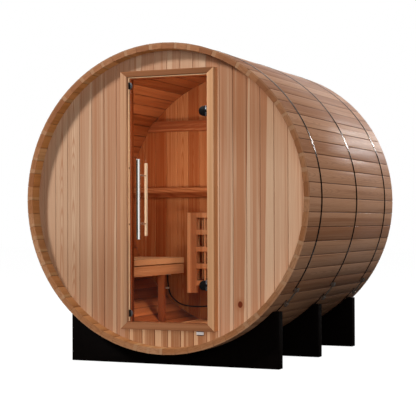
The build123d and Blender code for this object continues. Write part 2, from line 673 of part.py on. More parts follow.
guard_panel(
    "guard_front",
    across(GUARD_Y + GUARD_FRONT_THICKNESS),
    -GUARD_INNER,
    GUARD_INNER,
    GUARD_FRONT_THICKNESS,
    GUARD_FRONT_BARS,
)
guard_panel(
    "guard_left", along(-GUARD_HALF_WIDTH), GUARD_Y, CABIN_REAR_Y, GUARD_SIDE_THICKNESS, GUARD_SIDE_BARS
)
guard_panel(
    "guard_right", along(GUARD_INNER), GUARD_Y, CABIN_REAR_Y, GUARD_SIDE_THICKNESS, GUARD_SIDE_BARS
)

# Heater, a closed housing on the back wall
with BuildPart() as heater:
    with BuildSketch(level(HEATER_FOOT)):
        with Locations((0, CABIN_REAR_Y - HEATER_DEPTH / 2)):
            RectangleRounded(HEATER_WIDTH, HEATER_DEPTH, HEATER_CORNER)
    extrude(amount=HEATER_HEIGHT)
heater.part.label = "heater"
export_step(heater.part, "parts/heater.step")

# Lead from a wall box under the bench down and along to the heater
lead_in_x = LEAD_INTO_HEATER - HEATER_WIDTH / 2
lead_x = [BENCH_FRONT_X - behind for behind in LEAD_BEHIND_BENCH]
lead_x += [LEAD_UNDER_GUARD - GUARD_HALF_WIDTH, lead_in_x, lead_in_x]
lead_z = [FLOOR_TOP + over for over in LEAD_OVER_FLOOR] + [HEATER_FOOT]
lead_points = [(x, LEAD_Y, AXIS_Z + z) for x, z in zip(lead_x, lead_z)]
with BuildPart() as heater_lead:
    with BuildLine() as lead_path:
        FilletPolyline(*lead_points, radius=LEAD_BEND_RADIUS)
    with BuildSketch(Plane(origin=lead_path.line @ 0, z_dir=lead_path.line % 0)):
        Circle(LEAD_DIAMETER / 2)
    sweep(path=lead_path.line)
heater_lead.part.label = "heater_lead"
export_step(heater_lead.part, "parts/heater_lead.step")

drop_x, box_low = lead_x[0], lead_z[0]
clip_z = FLOOR_TOP + CLIP_OVER_FLOOR
with BuildPart() as lead_fittings:
    with BuildSketch(across(CABIN_REAR_Y)):
        with Locations((drop_x, box_low + LEAD_BOX_HEIGHT / 2)):
            Rectangle(LEAD_BOX_WIDTH, LEAD_BOX_HEIGHT)
    extrude(amount=LEAD_BOX_DEPTH)
    with BuildSketch(across(CABIN_REAR_Y)):
        with Locations((drop_x, clip_z)):
            Rectangle(CLIP_WIDTH, CLIP_HEIGHT)
    extrude(amount=CLIP_DEPTH)
    with BuildSketch(level(clip_z - CLIP_HEIGHT)):
        with Locations((drop_x, LEAD_Y)):
            Circle(LEAD_DIAMETER / 2 + CLIP_FIT)
    extrude(amount=2 * CLIP_HEIGHT, mode=Mode.SUBTRACT)
lead_fittings.part.label = "lead_fittings"
export_step(lead_fittings.part, "parts/lead_fittings.step")
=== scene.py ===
"""Looks of a barrel sauna: cedar staves and boards, bronze glass door, steel bands, black cradles."""

import math
from collections import namedtuple

import bpy
from mathutils import Matrix, Vector


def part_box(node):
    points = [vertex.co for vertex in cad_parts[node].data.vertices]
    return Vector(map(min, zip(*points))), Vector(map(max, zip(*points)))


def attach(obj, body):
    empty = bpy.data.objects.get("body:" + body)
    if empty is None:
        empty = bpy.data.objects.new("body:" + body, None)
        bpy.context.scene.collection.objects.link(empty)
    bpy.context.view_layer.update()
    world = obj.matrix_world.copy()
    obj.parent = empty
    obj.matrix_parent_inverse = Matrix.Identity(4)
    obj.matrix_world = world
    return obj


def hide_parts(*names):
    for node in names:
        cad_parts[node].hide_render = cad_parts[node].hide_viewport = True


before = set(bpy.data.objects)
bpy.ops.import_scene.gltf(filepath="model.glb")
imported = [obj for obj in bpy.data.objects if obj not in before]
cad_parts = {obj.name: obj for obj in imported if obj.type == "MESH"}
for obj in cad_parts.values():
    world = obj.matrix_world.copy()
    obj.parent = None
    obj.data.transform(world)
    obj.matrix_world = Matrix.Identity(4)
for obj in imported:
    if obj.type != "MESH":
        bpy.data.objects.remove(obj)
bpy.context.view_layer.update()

# Barrel sizes that the looks follow, in metres
AXIS_HEIGHT = 1.024
BARREL_RADIUS = 0.950
BARREL_HALF_LENGTH = 0.903
STAVE_COUNT = 68
STAVE_WIDTH = 2 * math.pi * BARREL_RADIUS / STAVE_COUNT
BOARD_PITCH = 0.0875
DOOR_WALL_MIDDLE = -0.805
REAR_WALL_MIDDLE = 0.468


# Node helpers
def tone(red, green, blue):
    """A colour as a paint chart gives it, 0 to 255, turned into the shader's linear values."""
    out = []
    for part in (red, green, blue):
        part = part / 255
        out.append(part / 12.92 if part <= 0.04045 else ((part + 0.055) / 1.055) ** 2.4)
    return (*out, 1.0)


def put(tree, kind, inputs=None, **settings):
    """A new node with its settings made, and its inputs linked to sockets or set to values."""
    made = tree.nodes.new(kind)
    for key, value in settings.items():
        setattr(made, key, value)
    for key, value in (inputs or {}).items():
        if isinstance(value, bpy.types.NodeSocket):
            tree.links.new(value, made.inputs[key])
        else:
            made.inputs[key].default_value = value
    return made


def calc(tree, operation, first, second=0.0, third=0.0):
    """One step of arithmetic on sockets or numbers."""
    return put(tree, "ShaderNodeMath", {0: first, 1: second, 2: third}, operation=operation).outputs[0]


def times(tree, value, *factors):
    """A product of sockets and numbers."""
    for factor in factors:
        value = calc(tree, "MULTIPLY", value, factor)
    return value


def blend(tree, factor, first, second, mode="MIX"):
    """Two colours mixed by a factor, 0 for the first and 1 for the second."""
    sockets = {0: factor, 6: first, 7: second}
    return put(tree, "ShaderNodeMix", sockets, data_type="RGBA", blend_type=mode).outputs[2]


def wash(tree, colour, mask, share, other):
    """Turns a colour towards another one by a share of the mask."""
    return blend(tree, times(tree, mask, share), colour, other)


def shade(tree, colour, mask, factor):
    """Multiplies a colour by a factor where the mask is 1."""
    return blend(tree, mask, colour, blend(tree, 1.0, colour, factor, "MULTIPLY"))


def ramp(tree, value, *stops):
    """A colour for each value, from stops that give a place and a colour in turn."""
    made = put(tree, "ShaderNodeValToRGB", {0: value})
    band = made.color_ramp
    while len(band.elements) < len(stops):
        band.elements.new(1.0)
    for element, (place, colour) in zip(band.elements, stops):
        element.position = place
        element.color = colour
    return made.outputs[0]


def step_up(tree, value, low, high):
    """0 below low, 1 above high and smooth between. Where low is the greater, it steps down."""
    sockets = {0: value, 1: low, 2: high, 3: 0.0, 4: 1.0}
    return put(tree, "ShaderNodeMapRange", sockets, interpolation_type="SMOOTHSTEP").outputs[0]


def mottle(tree, x, y, z, scale, detail=3.0, rough=0.55):
    """Noise on three sockets or numbers."""
    place = put(tree, "ShaderNodeCombineXYZ", {0: x, 1: y, 2: z}).outputs[0]
    sockets = {"Vector": place, "Scale": scale, "Detail": detail, "Roughness": rough}
    return put(tree, "ShaderNodeTexNoise", sockets).outputs[0]


def chance(tree, index, seed):
    """A chance value and a chance colour for each whole number, the same in every run."""
    place = calc(tree, "ADD", index, seed)
    return put(tree, "ShaderNodeTexWhiteNoise", {"W": place}, noise_dimensions="1D").outputs


def new_material(name):
    made = bpy.data.materials.new(name)
    made.use_nodes = True
    return made, made.node_tree, made.node_tree.nodes["Principled BSDF"]


def object_axes(tree):
    place = put(tree, "ShaderNodeTexCoord").outputs["Object"]
    return put(tree, "ShaderNodeSeparateXYZ", {0: place}).outputs[:3]


def grain_axes(tree, lie):
    """Across the grain, along it and deep: letters such as "xzy" in turn, or "round" for staves.

    For staves these are the arc's length, the barrel's length and the radius.
    """
    x, y, z = axes = object_axes(tree)
    if lie != "round":
        return [axes["xyz".index(letter)] for letter in lie]
    up = calc(tree, "SUBTRACT", z, AXIS_HEIGHT)
    arc = times(tree, calc(tree, "ARCTAN2", up, x), BARREL_RADIUS)
    squares = calc(tree, "ADD", times(tree, up, up), times(tree, x, x))
    return [arc, y, calc(tree, "SQRT", squares)]


# Cedar
Wood = namedtuple("Wood", "material tree shader colour axes")
PLANK_SHIFT = 1000.0
PLANK_JUMP = 37.0
MIDDLE_TONE = 0.4
JOINT_EDGE = (0.462, 0.492)
JOINT_SHADE = tone(110, 84, 70)
POLISH_SPREAD = 0.2
RELIEF_STRENGTH = 0.25
RELIEF_DEPTH = 0.0015

# Ripples in each metre across and along the grain
STREAKS = (46.0, 0.7)
CLOUDS = (9.0, 1.6)
THREADS = (150.0, 0.5)
FIBRES = (420.0, 7.0)

# Growth lines in each metre, straight or arched, and how far they bow and drift
STRAIGHT_LINES = 115.0
ARCHED_LINES = 6.5
ARCH_BOW = 26.0
LINE_DRIFT = 5.0

# Where noise turns wood pale or dark, and by what share
PALE_STREAKS = (0.5, 0.7, 0.6)
DARK_STREAKS = (0.48, 0.28, 0.6)
PALE_THREADS = (0.54, 0.72, 0.45)
DARK_THREADS = (0.46, 0.28, 0.55)
DARK_FIBRES = (0.45, 0.75, 0.22)
LATE_WOOD_SHARE = 0.6

# Pale sapwood: a band on chosen planks, or an edge on a share of the others
BAND_SHARE = 0.85
BAND_SWAY = 0.16
BAND_FADE_IN = 0.06
BAND_FADE_OUT = 0.03
LEAST_BAND = 0.01
SAP_SWAY = 0.3
SAP_EDGE = (0.2, 0.36)


def grain(tree, across, along, layer, ripples, detail, rough=0.55):
    """Noise drawn out along the grain."""
    wide, far = ripples
    return mottle(tree, times(tree, across, wide), times(tree, along, far), layer, 1.0, detail, rough)


def tinge(tree, colour, noise, amount, other):
    """Turns a colour towards another one where noise goes from low to high, by a share."""
    low, high, share = amount
    return wash(tree, colour, step_up(tree, noise, low, high), share, other)


def plank_kinds(tree, index, first, kinds):
    """Tone, start and end of the pale band, and flat-sawn or not, for planks chosen in turn."""
    share = calc(tree, "DIVIDE", calc(tree, "ADD", index, 0.5 - first), len(kinds))
    places = [step / len(kinds) for step in range(len(kinds))]
    chosen = ramp(tree, share, *[(at, (*kind[:3], 1)) for at, kind in zip(places, kinds)])
    figure = ramp(tree, share, *[(at, (kind[3], 0, 0, 1)) for at, kind in zip(places, kinds)])
    parts = []
    for socket in (chosen, figure):
        socket.node.color_ramp.interpolation = "CONSTANT"
        parts.extend(put(tree, "ShaderNodeSeparateColor", {0: socket}).outputs[:3])
    return parts[:4]


def chosen_band(tree, spot, along, band_from, band_to, spread):
    """A pale band between two places across a plank, whose start shifts by spread in each metre up."""
    grow = times(tree, calc(tree, "SUBTRACT", along, AXIS_HEIGHT), spread)
    past_start = calc(tree, "SUBTRACT", spot, calc(tree, "ADD", band_from, grow))
    after = step_up(tree, past_start, -BAND_FADE_IN, 0.0)
    before = step_up(tree, calc(tree, "SUBTRACT", spot, band_to), BAND_FADE_OUT, -BAND_FADE_OUT)
    return times(tree, after, before, calc(tree, "GREATER_THAN", band_to, LEAST_BAND))


def growth_lines(tree, across, run, inside, cloud, flat_sawn):
    """Dark late wood, 0 to 1: straight lines, or nested arches on a flat-sawn plank."""
    drift = times(tree, calc(tree, "SUBTRACT", cloud, 0.5), LINE_DRIFT)
    lined = calc(tree, "ADD", times(tree, across, STRAIGHT_LINES), drift)
    bow = times(tree, inside, inside, ARCH_BOW)
    nested = calc(tree, "ADD", calc(tree, "ADD", times(tree, run, ARCHED_LINES), bow), drift)
    sockets = {0: flat_sawn, 2: lined, 3: nested}
    field = put(tree, "ShaderNodeMix", sockets, data_type="FLOAT").outputs[0]
    wave = calc(tree, "SINE", times(tree, field, 2 * math.pi))
    return calc(tree, "POWER", calc(tree, "MULTIPLY_ADD", wave, 0.5, 0.5), 3.0)


def cedar(
    name,
    lie,
    plank,
    tones,
    seed,
    arched=0.0,
    sap=0.0,
    groove=0.0,
    rough=0.62,
    lines=0.3,
    gloss=0.05,
    kinds=None,
):
    """Cedar: a tone for each plank, growth lines, streaks, pale sapwood and fine fibre.

    plank is a plank's width across the grain, tones three colours from pale to dark, arched the share
    of flat-sawn planks, sap the share with a pale edge, groove how dark the joints are. kinds, where
    given, is the number of the first plank, a choice for each plank in turn, and how far a pale band
    shifts in each metre up.
    """
    made, tree, shader = new_material(name)
    across, along, deep = grain_axes(tree, lie)
    count = calc(tree, "ADD", calc(tree, "DIVIDE", across, plank), PLANK_SHIFT)
    index = calc(tree, "FLOOR", count)
    inside = calc(tree, "SUBTRACT", calc(tree, "SUBTRACT", count, index), 0.5)
    lot = put(tree, "ShaderNodeSeparateColor", {0: chance(tree, index, seed)["Color"]}).outputs
    jump = times(tree, lot[2], PLANK_JUMP)
    run = calc(tree, "ADD", along, jump)

    streak = grain(tree, across, run, jump, STREAKS, 4.0, 0.6)
    cloud = grain(tree, across, run, jump, CLOUDS, 2.0)
    thread = grain(tree, across, run, jump, THREADS, 2.0, 0.5)
    fibre = grain(tree, across, run, deep, FIBRES, 3.0, 0.6)

    if kinds:
        first, table, spread = kinds
        pick_tone, band_from, band_to, flat_sawn = plank_kinds(tree, index, first + PLANK_SHIFT, table)
        sway = calc(tree, "MULTIPLY_ADD", calc(tree, "SUBTRACT", cloud, 0.5), BAND_SWAY, inside)
        spot = calc(tree, "ADD", sway, 0.5)
        band = chosen_band(tree, spot, along, band_from, band_to, spread)
    else:
        pick_tone = lot[0]
        flat_sawn = calc(tree, "LESS_THAN", lot[1], arched)
        edge = step_up(tree, calc(tree, "MULTIPLY_ADD", cloud, SAP_SWAY, inside), *SAP_EDGE)
        band = times(tree, calc(tree, "LESS_THAN", lot[2], sap), edge)
    late = growth_lines(tree, across, run, inside, cloud, flat_sawn)

    pale, mid, dark = tones
    colour = ramp(tree, pick_tone, (0.0, dark), (MIDDLE_TONE, mid), (1.0, pale))
    colour = tinge(tree, colour, streak, PALE_STREAKS, pale)
    colour = tinge(tree, colour, streak, DARK_STREAKS, dark)
    colour = tinge(tree, colour, thread, PALE_THREADS, pale)
    colour = tinge(tree, colour, thread, DARK_THREADS, dark)
    colour = wash(tree, colour, band, BAND_SHARE, pale)
    line_share = calc(tree, "MULTIPLY_ADD", flat_sawn, lines, lines)
    colour = wash(tree, colour, late, line_share, blend(tree, LATE_WOOD_SHARE, colour, dark))
    colour = tinge(tree, colour, fibre, DARK_FIBRES, dark)
    if groove:
        joint = step_up(tree, calc(tree, "ABSOLUTE", inside), *JOINT_EDGE)
        colour = shade(tree, colour, times(tree, joint, groove), JOINT_SHADE)
    tree.links.new(colour, shader.inputs["Base Color"])
    polish = calc(tree, "MULTIPLY_ADD", fibre, POLISH_SPREAD, rough - POLISH_SPREAD / 2)
    tree.links.new(polish, shader.inputs["Roughness"])
    surface = {"Strength": RELIEF_STRENGTH, "Distance": RELIEF_DEPTH, "Height": fibre}
    relief = put(tree, "ShaderNodeBump", surface).outputs[0]
    tree.links.new(relief, shader.inputs["Normal"])
    shader.inputs["Specular IOR Level"].default_value = gloss
    return Wood(made, tree, shader, colour, (across, along, deep))


def recolour(wood, colour):
    """Gives a wood its finished colour."""
    wood.tree.links.new(colour, wood.shader.inputs["Base Color"])
    return wood.material


# Cedar's colours, from pale to dark
STAVE_TONES = (tone(188, 140, 107), tone(170, 120, 87), tone(141, 91, 60))
BOARD_TONES = (tone(204, 170, 140), tone(182, 138, 108), tone(168, 114, 80))
UNDER_DOOR_TONES = (tone(206, 164, 126), tone(168, 120, 84), tone(150, 100, 66))
LEFT_JAMB_TONES = (tone(192, 146, 112), tone(178, 130, 96), tone(160, 110, 74))
RIGHT_JAMB_TONES = (tone(218, 174, 138), tone(208, 160, 120), tone(192, 140, 98))
CROSS_TONES = (tone(170, 116, 80), tone(154, 100, 67), tone(128, 80, 50))
SEAT_TONES = (tone(216, 178, 138), tone(194, 148, 110), tone(164, 114, 78))
FASCIA_TONES = (tone(200, 152, 112), tone(180, 128, 90), tone(152, 98, 64))
PALE_TONES = (tone(255, 242, 224), tone(255, 234, 210), tone(246, 216, 182))
# The legs' tones are darker than the fascia's, as painted shade under the seat.
LEG_TONES = (tone(166, 100, 62), tone(148, 84, 50), tone(120, 64, 36))
FENCE_TONES = (tone(236, 182, 136), tone(210, 148, 104), tone(172, 110, 74))
FLOOR_TONES = (tone(236, 178, 128), tone(220, 156, 106), tone(186, 120, 78))
RAIL_TONES = (tone(196, 128, 84), tone(174, 104, 64), tone(140, 74, 42))
STOP_TONES = (tone(164, 86, 46), tone(146, 72, 38), tone(124, 58, 28))

# Factors that deepen, darken or brighten a colour; all but the amber ones and the upper rail's are
# painted shade or painted light
AMBER = (1.16, 0.88, 0.66, 1.0)
AMBER_DEPTH = 1.35
RIGHT_END_SHADE = (0.74, 0.76, 0.78, 1.0)
GUARD_SHADOW = (0.25, 0.15, 0.11, 1.0)
FOOT_SHADE = (0.7, 0.58, 0.42, 1.0)
NEAR_RIM_SHADE = (0.78, 0.71, 0.65, 1.0)
UPPER_RAIL_SHADE = (1.24, 1.3, 1.4, 1.0)
LOWER_RAIL_SHADOW = (0.55, 0.4, 0.32, 1.0)
GUARD_INSIDE_SHADE = (0.2, 0.12, 0.09, 1.0)
PAINTED_SIDE_LIGHT = (1.3, 1.32, 1.25, 1.0)
EDGE_HIGHLIGHT = (1.16, 1.17, 1.19, 1.0)


def ambered(tree, colour):
    """Wood on the cabin side: deeper and redder than the same plank outside."""
    deep = put(tree, "ShaderNodeGamma", {0: colour, 1: AMBER_DEPTH}).outputs[0]
    return blend(tree, 1.0, deep, AMBER, "MULTIPLY")


# Staves: sawn ends, porch and cabin
RIM_FACE = (BARREL_HALF_LENGTH - 0.0012, BARREL_HALF_LENGTH - 0.0004)
INNER_FACE = (0.9165, 0.9125)
OUTER_RIM_BAND = (BARREL_RADIUS - 0.013, BARREL_RADIUS - 0.007)
LOW_PART = (0.15, -0.35)
RIGHT_PART = (0.2, 0.8)
RIM_SEED = 71.5
RINGS_ROUND = 30.0
RINGS_DEEP = 190.0
RING_EDGE = (0.45, 0.6)
SAPPY_FROM = 0.5
SAPWOOD_SHARE = 0.45
RIGHT_END_SHADE_SHARE = 0.8
RIM_TONES = (
    (0.0, tone(138, 82, 44)),
    (0.4, tone(158, 102, 62)),
    (0.7, tone(164, 112, 74)),
    (1.0, tone(178, 130, 94)),
)
RIM_RING = tone(122, 74, 42)
RIM_SAPWOOD = tone(178, 138, 104)
RIM_OUTER_TONE = tone(168, 126, 94)
PORCH_TONES = (
    (0.0, tone(196, 130, 72)),
    (0.85, tone(210, 146, 88)),
    (1.0, tone(214, 166, 118)),
)
PORCH_LOW = tone(168, 114, 72)
PORCH_RING = tone(140, 80, 34)
PORCH_SAPWOOD = tone(208, 168, 120)


def finish_staves(wood):
    """End grain on the sawn ends, with painted shade towards their right-hand side, a golden porch with
    painted light on its upper part, and an amber inside face in the cabin.
    """
    tree = wood.tree
    arc, length, radius = wood.axes
    count = calc(tree, "DIVIDE", arc, STAVE_WIDTH)
    index = calc(tree, "FLOOR", count)
    lot = chance(tree, index, RIM_SEED)["Value"]
    rings = mottle(tree, times(tree, arc, RINGS_ROUND), lot, times(tree, radius, RINGS_DEEP), 1.0, 2.0)
    ring = step_up(tree, rings, *RING_EDGE)
    angle = calc(tree, "DIVIDE", arc, BARREL_RADIUS)
    up = times(tree, calc(tree, "SINE", angle), BARREL_RADIUS)
    over = times(tree, calc(tree, "COSINE", angle), BARREL_RADIUS)
    low = step_up(tree, up, *LOW_PART)
    right = step_up(tree, over, *RIGHT_PART)
    spot = calc(tree, "SUBTRACT", calc(tree, "SUBTRACT", count, index), 0.5)
    sappy = calc(tree, "GREATER_THAN", lot, SAPPY_FROM)
    sapwood = step_up(tree, calc(tree, "SUBTRACT", spot, times(tree, lot, 0.3)), 0.0, 0.05)
    sapwood = times(tree, sapwood, sappy, SAPWOOD_SHARE)

    pick_tone = calc(tree, "MULTIPLY_ADD", low, 0.35, times(tree, lot, 0.65))
    ends = ramp(tree, pick_tone, *RIM_TONES)
    ends = wash(tree, ends, ring, 0.45, RIM_RING)
    ends = blend(tree, sapwood, ends, RIM_SAPWOOD)
    # The ends turn paler in a band along their outer edge.
    ends = wash(tree, ends, step_up(tree, radius, *OUTER_RIM_BAND), 0.35, RIM_OUTER_TONE)
    # Painted shade: the sawn ends darken towards the barrel's right-hand side.
    ends = shade(tree, ends, times(tree, right, RIGHT_END_SHADE_SHARE), RIGHT_END_SHADE)

    # Painted light: the porch's upper part, which lies in the key light's shadow, is painted brighter
    # and more saturated than its lower half, where the key light falls.
    porch = ramp(tree, lot, *PORCH_TONES)
    porch = wash(tree, porch, low, 0.75, PORCH_LOW)
    porch = wash(tree, porch, ring, 0.25, PORCH_RING)
    porch = blend(tree, sapwood, porch, PORCH_SAPWOOD)

    ahead = calc(tree, "GREATER_THAN", length, DOOR_WALL_MIDDLE)
    behind = calc(tree, "LESS_THAN", length, REAR_WALL_MIDDLE)
    inside = blend(tree, times(tree, ahead, behind), porch, ambered(tree, wood.colour))
    colour = blend(tree, step_up(tree, radius, *INNER_FACE), wood.colour, inside)
    rim = step_up(tree, calc(tree, "ABSOLUTE", length), *RIM_FACE)
    return recolour(wood, blend(tree, rim, colour, ends))


stave_cedar = finish_staves(
    cedar(
        "stave_cedar",
        "round",
        STAVE_WIDTH,
        STAVE_TONES,
        seed=3.0,
        arched=0.3,
        sap=0.1,
        groove=0.85,
        rough=0.46,
        gloss=0.24,
    )
)


# Boards of the walls, from the left: paleness, where a pale band starts and ends, and flat-sawn or not
def straight(paleness):
    return (paleness, 0.0, 0.0, 0.0)


def flat(paleness):
    return (paleness, 0.0, 0.0, 1.0)


def banded(paleness, start, end):
    return (paleness, start, end, 0.0)


PALE_BAND_SPREAD = 0.22
FIRST_BOARD = -11
DOOR_WALL_BOARDS = (
    straight(0.6),
    straight(0.7),
    flat(0.85),
    flat(0.9),
    banded(0.5, 0.72, 0.98),
    straight(0.3),
    banded(0.32, 0.9, 1.0),
    straight(0.35),
    banded(0.3, 0.75, 1.0),
    straight(0.05),
    banded(0.45, 0.8, 1.0),
    flat(0.2),
    banded(0.6, 0.7, 1.0),
    straight(0.1),
    banded(0.3, 0.8, 1.0),
    banded(0.34, 0.92, 1.0),
    banded(0.08, 0.96, 1.0),
    banded(0.25, 0.02, 0.27),
    banded(0.2, 0.42, 1.0),
    straight(0.7),
    straight(0.8),
    straight(0.6),
)
REAR_WALL_BOARDS = (
    flat(0.4),
    straight(0.2),
    straight(0.1),
    straight(0.05),
    straight(0.85),
    flat(1.0),
    flat(0.3),
    straight(0.8),
    flat(0.3),
    straight(0.05),
    straight(0.5),
    straight(0.35),
    flat(0.9),
    flat(0.15),
    straight(0.8),
    straight(0.4),
    banded(0.2, 0.7, 1.0),
    flat(0.5),
    straight(0.1),
    banded(0.4, 0.8, 1.0),
    straight(0.3),
    straight(0.5),
)
FIRST_SHORT_BOARD = -4
OVER_DOOR_BOARDS = (
    straight(0.5),
    banded(0.5, 0.6, 1.0),
    straight(0.4),
    straight(0.6),
    banded(0.45, 0.0, 0.4),
    straight(0.6),
    banded(0.5, 0.5, 1.0),
    straight(0.2),
    straight(0.3),
)
UNDER_DOOR_BOARDS = (
    straight(0.2),
    banded(0.2, 0.0, 0.3),
    banded(0.1, 0.0, 0.22),
    banded(0.1, 0.0, 0.46),
    banded(0.05, 0.0, 0.28),
    banded(0.1, 0.0, 0.25),
    banded(0.12, 0.0, 0.3),
    banded(0.1, 0.0, 0.25),
    straight(0.2),
)

# Marks and painted shade on the boards
KNOT_X = 0.481
KNOT_HEIGHT = 0.386
KNOT_SQUASH = 0.75
KNOT_HALO = (0.045, 0.016)
KNOT_CORE = (0.017, 0.013)
KNOT_HALO_SHARE = 0.45
KNOT_HALO_TONE = tone(150, 92, 58)
KNOT_CORE_TONE = tone(104, 44, 24)
# Where painted shade near the rim falls on the door wall, and how strong it is
HIGH_RIGHT = ((0.2, 0.42), (0.1, 0.5))
LOW_LEFT = ((-0.2, -0.4), (-0.1, -0.5))
NEAR_RIM_SHADE_SHARE = 0.75
# Painted shadow round the guard, and painted shade at the rear wall's foot
GUARD_SHADOW_REACH = 0.11
GUARD_SHADOW_FADE = 0.05
FOOT_SHADE_TOP = 0.62
FOOT_SHADE_FADE = 0.2
FACE_FADE = 0.004


def knotted(tree, colour, x, z):
    """One knot low on the right of the door wall."""
    dx = calc(tree, "SUBTRACT", x, KNOT_X)
    dz = times(tree, calc(tree, "SUBTRACT", z, KNOT_HEIGHT), KNOT_SQUASH)
    reach = calc(tree, "SQRT", calc(tree, "ADD", times(tree, dx, dx), times(tree, dz, dz)))
    colour = wash(tree, colour, step_up(tree, reach, *KNOT_HALO), KNOT_HALO_SHARE, KNOT_HALO_TONE)
    return blend(tree, step_up(tree, reach, *KNOT_CORE), colour, KNOT_CORE_TONE)


def shaded_near_rim(tree, colour, x, z):
    """Painted shade near the rim: the door wall's boards darkened high on the right and low on the left.
    """
    up = calc(tree, "SUBTRACT", z, AXIS_HEIGHT)
    parts = [
        times(tree, step_up(tree, x, *sideways), step_up(tree, up, *upwards))
        for sideways, upwards in (HIGH_RIGHT, LOW_LEFT)
    ]
    share = times(tree, calc(tree, "ADD", *parts), NEAR_RIM_SHADE_SHARE)
    return shade(tree, colour, share, NEAR_RIM_SHADE)


def painted_rear_shade(tree, colour, x, z):
    """Painted shade on the rear wall: a painted shadow round the guarded heater, and painted shade along
    its foot, below the bench.
    """
    low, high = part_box("guard_front")
    left = step_up(tree, x, low.x - GUARD_SHADOW_REACH, low.x - GUARD_SHADOW_REACH + GUARD_SHADOW_FADE)
    right = step_up(tree, x, high.x + GUARD_SHADOW_REACH, high.x + GUARD_SHADOW_REACH - GUARD_SHADOW_FADE)
    top = step_up(tree, z, high.z, high.z - GUARD_SHADOW_FADE)
    foot = step_up(tree, z, low.z, low.z + GUARD_SHADOW_FADE)
    colour = shade(tree, colour, times(tree, left, right, top, foot), GUARD_SHADOW)
    return shade(tree, colour, step_up(tree, z, FOOT_SHADE_TOP, FOOT_SHADE_TOP - FOOT_SHADE_FADE), FOOT_SHADE)


def finish_front_boards(wood, *marks):
    """Marks and painted shade on the boards, and an amber face towards the cabin."""
    tree, colour = wood.tree, wood.colour
    x, z, y = wood.axes
    for mark in marks:
        colour = mark(tree, colour, x, z)
    within = step_up(tree, calc(tree, "SUBTRACT", y, DOOR_WALL_MIDDLE), -FACE_FADE, FACE_FADE)
    return recolour(wood, blend(tree, within, colour, ambered(tree, colour)))


def finish_rear_boards(wood):
    """An amber face towards the cabin, with painted shade on it round the guard and along its foot."""
    tree, colour = wood.tree, wood.colour
    x, z, y = wood.axes
    amber = painted_rear_shade(tree, ambered(tree, colour), x, z)
    within = step_up(tree, calc(tree, "SUBTRACT", y, REAR_WALL_MIDDLE), FACE_FADE, -FACE_FADE)
    return recolour(wood, blend(tree, within, colour, amber))


def board_cedar(name, tones, seed, lines, kinds):
    return cedar(name, "xzy", BOARD_PITCH, tones, seed, lines=lines, kinds=kinds)


door_wall_kinds = (FIRST_BOARD, DOOR_WALL_BOARDS, PALE_BAND_SPREAD)
over_door_kinds = (FIRST_SHORT_BOARD, OVER_DOOR_BOARDS, 0.0)
under_door_kinds = (FIRST_SHORT_BOARD, UNDER_DOOR_BOARDS, 0.0)
rear_wall_kinds = (FIRST_BOARD, REAR_WALL_BOARDS, 0.0)
door_wall = board_cedar("door_wall_cedar", BOARD_TONES, 11.0, 0.5, door_wall_kinds)
over_door = board_cedar("over_door_cedar", BOARD_TONES, 12.0, 0.3, over_door_kinds)
under_door = board_cedar("under_door_cedar", UNDER_DOOR_TONES, 13.0, 0.3, under_door_kinds)
rear_wall = board_cedar("rear_wall_cedar", BOARD_TONES, 23.0, 0.45, rear_wall_kinds)
door_wall_cedar = finish_front_boards(door_wall, knotted, shaded_near_rim)
over_door_cedar = finish_front_boards(over_door)
under_door_cedar = finish_front_boards(under_door)
rear_wall_cedar = finish_rear_boards(rear_wall)

# Other woods, and the width of the planks that they are sawn from
WHOLE = 0.2
SLAT = 0.106
BAR = 0.045
RAIL_PLANK = 0.3
LOWER_RAIL_MIDDLE = 1.096
RAIL_SHADOW_FADE = 0.003
BETWEEN_RAILS = 1.33
HIGHLIGHT_STRIP = 0.013
HIGHLIGHT_FADE = 0.004
SKIN = 0.0005

level_cedar = cedar("level_cedar", "zxy", BAR, CROSS_TONES, 8.0).material
stop_cedar = cedar("stop_cedar", "xzy", WHOLE, STOP_TONES, 2.0).material
slat_cedar = cedar("slat_cedar", "xyz", SLAT, SEAT_TONES, 4.0, arched=0.4, sap=0.2).material
fascia_cedar = cedar("fascia_cedar", "zyx", WHOLE, FASCIA_TONES, 4.0).material
leg_cedar = cedar("leg_cedar", "yzx", WHOLE, LEG_TONES, 6.0).material
floor_wood = cedar("floor_cedar", "xyz", SLAT, FLOOR_TONES, 17.0, arched=0.4, sap=0.2, groove=0.9)
floor_cedar = floor_wood.material
handle_cedar = cedar("handle_cedar", "xzy", WHOLE, PALE_TONES, 14.0).material


def finish_rails(wood):
    """A red-brown upper rail, and a lower rail whose bottom half is darkened as painted shadow."""
    tree, z = wood.tree, wood.axes[0]
    shadowed_half = step_up(tree, z, LOWER_RAIL_MIDDLE + RAIL_SHADOW_FADE, LOWER_RAIL_MIDDLE - RAIL_SHADOW_FADE)
    upper = blend(tree, 1.0, wood.colour, UPPER_RAIL_SHADE, "MULTIPLY")
    lower = shade(tree, wood.colour, shadowed_half, LOWER_RAIL_SHADOW)
    return recolour(wood, blend(tree, calc(tree, "GREATER_THAN", z, BETWEEN_RAILS), lower, upper))


def painted_edge_highlight(wood, node):
    """Painted highlight: a paler strip along the right-hand edge of a jamb, where the edge catches the
    light.
    """
    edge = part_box(node)[1].x - HIGHLIGHT_STRIP
    strip = step_up(wood.tree, wood.axes[0], edge - HIGHLIGHT_FADE, edge)
    return shade(wood.tree, wood.colour, strip, EDGE_HIGHLIGHT)


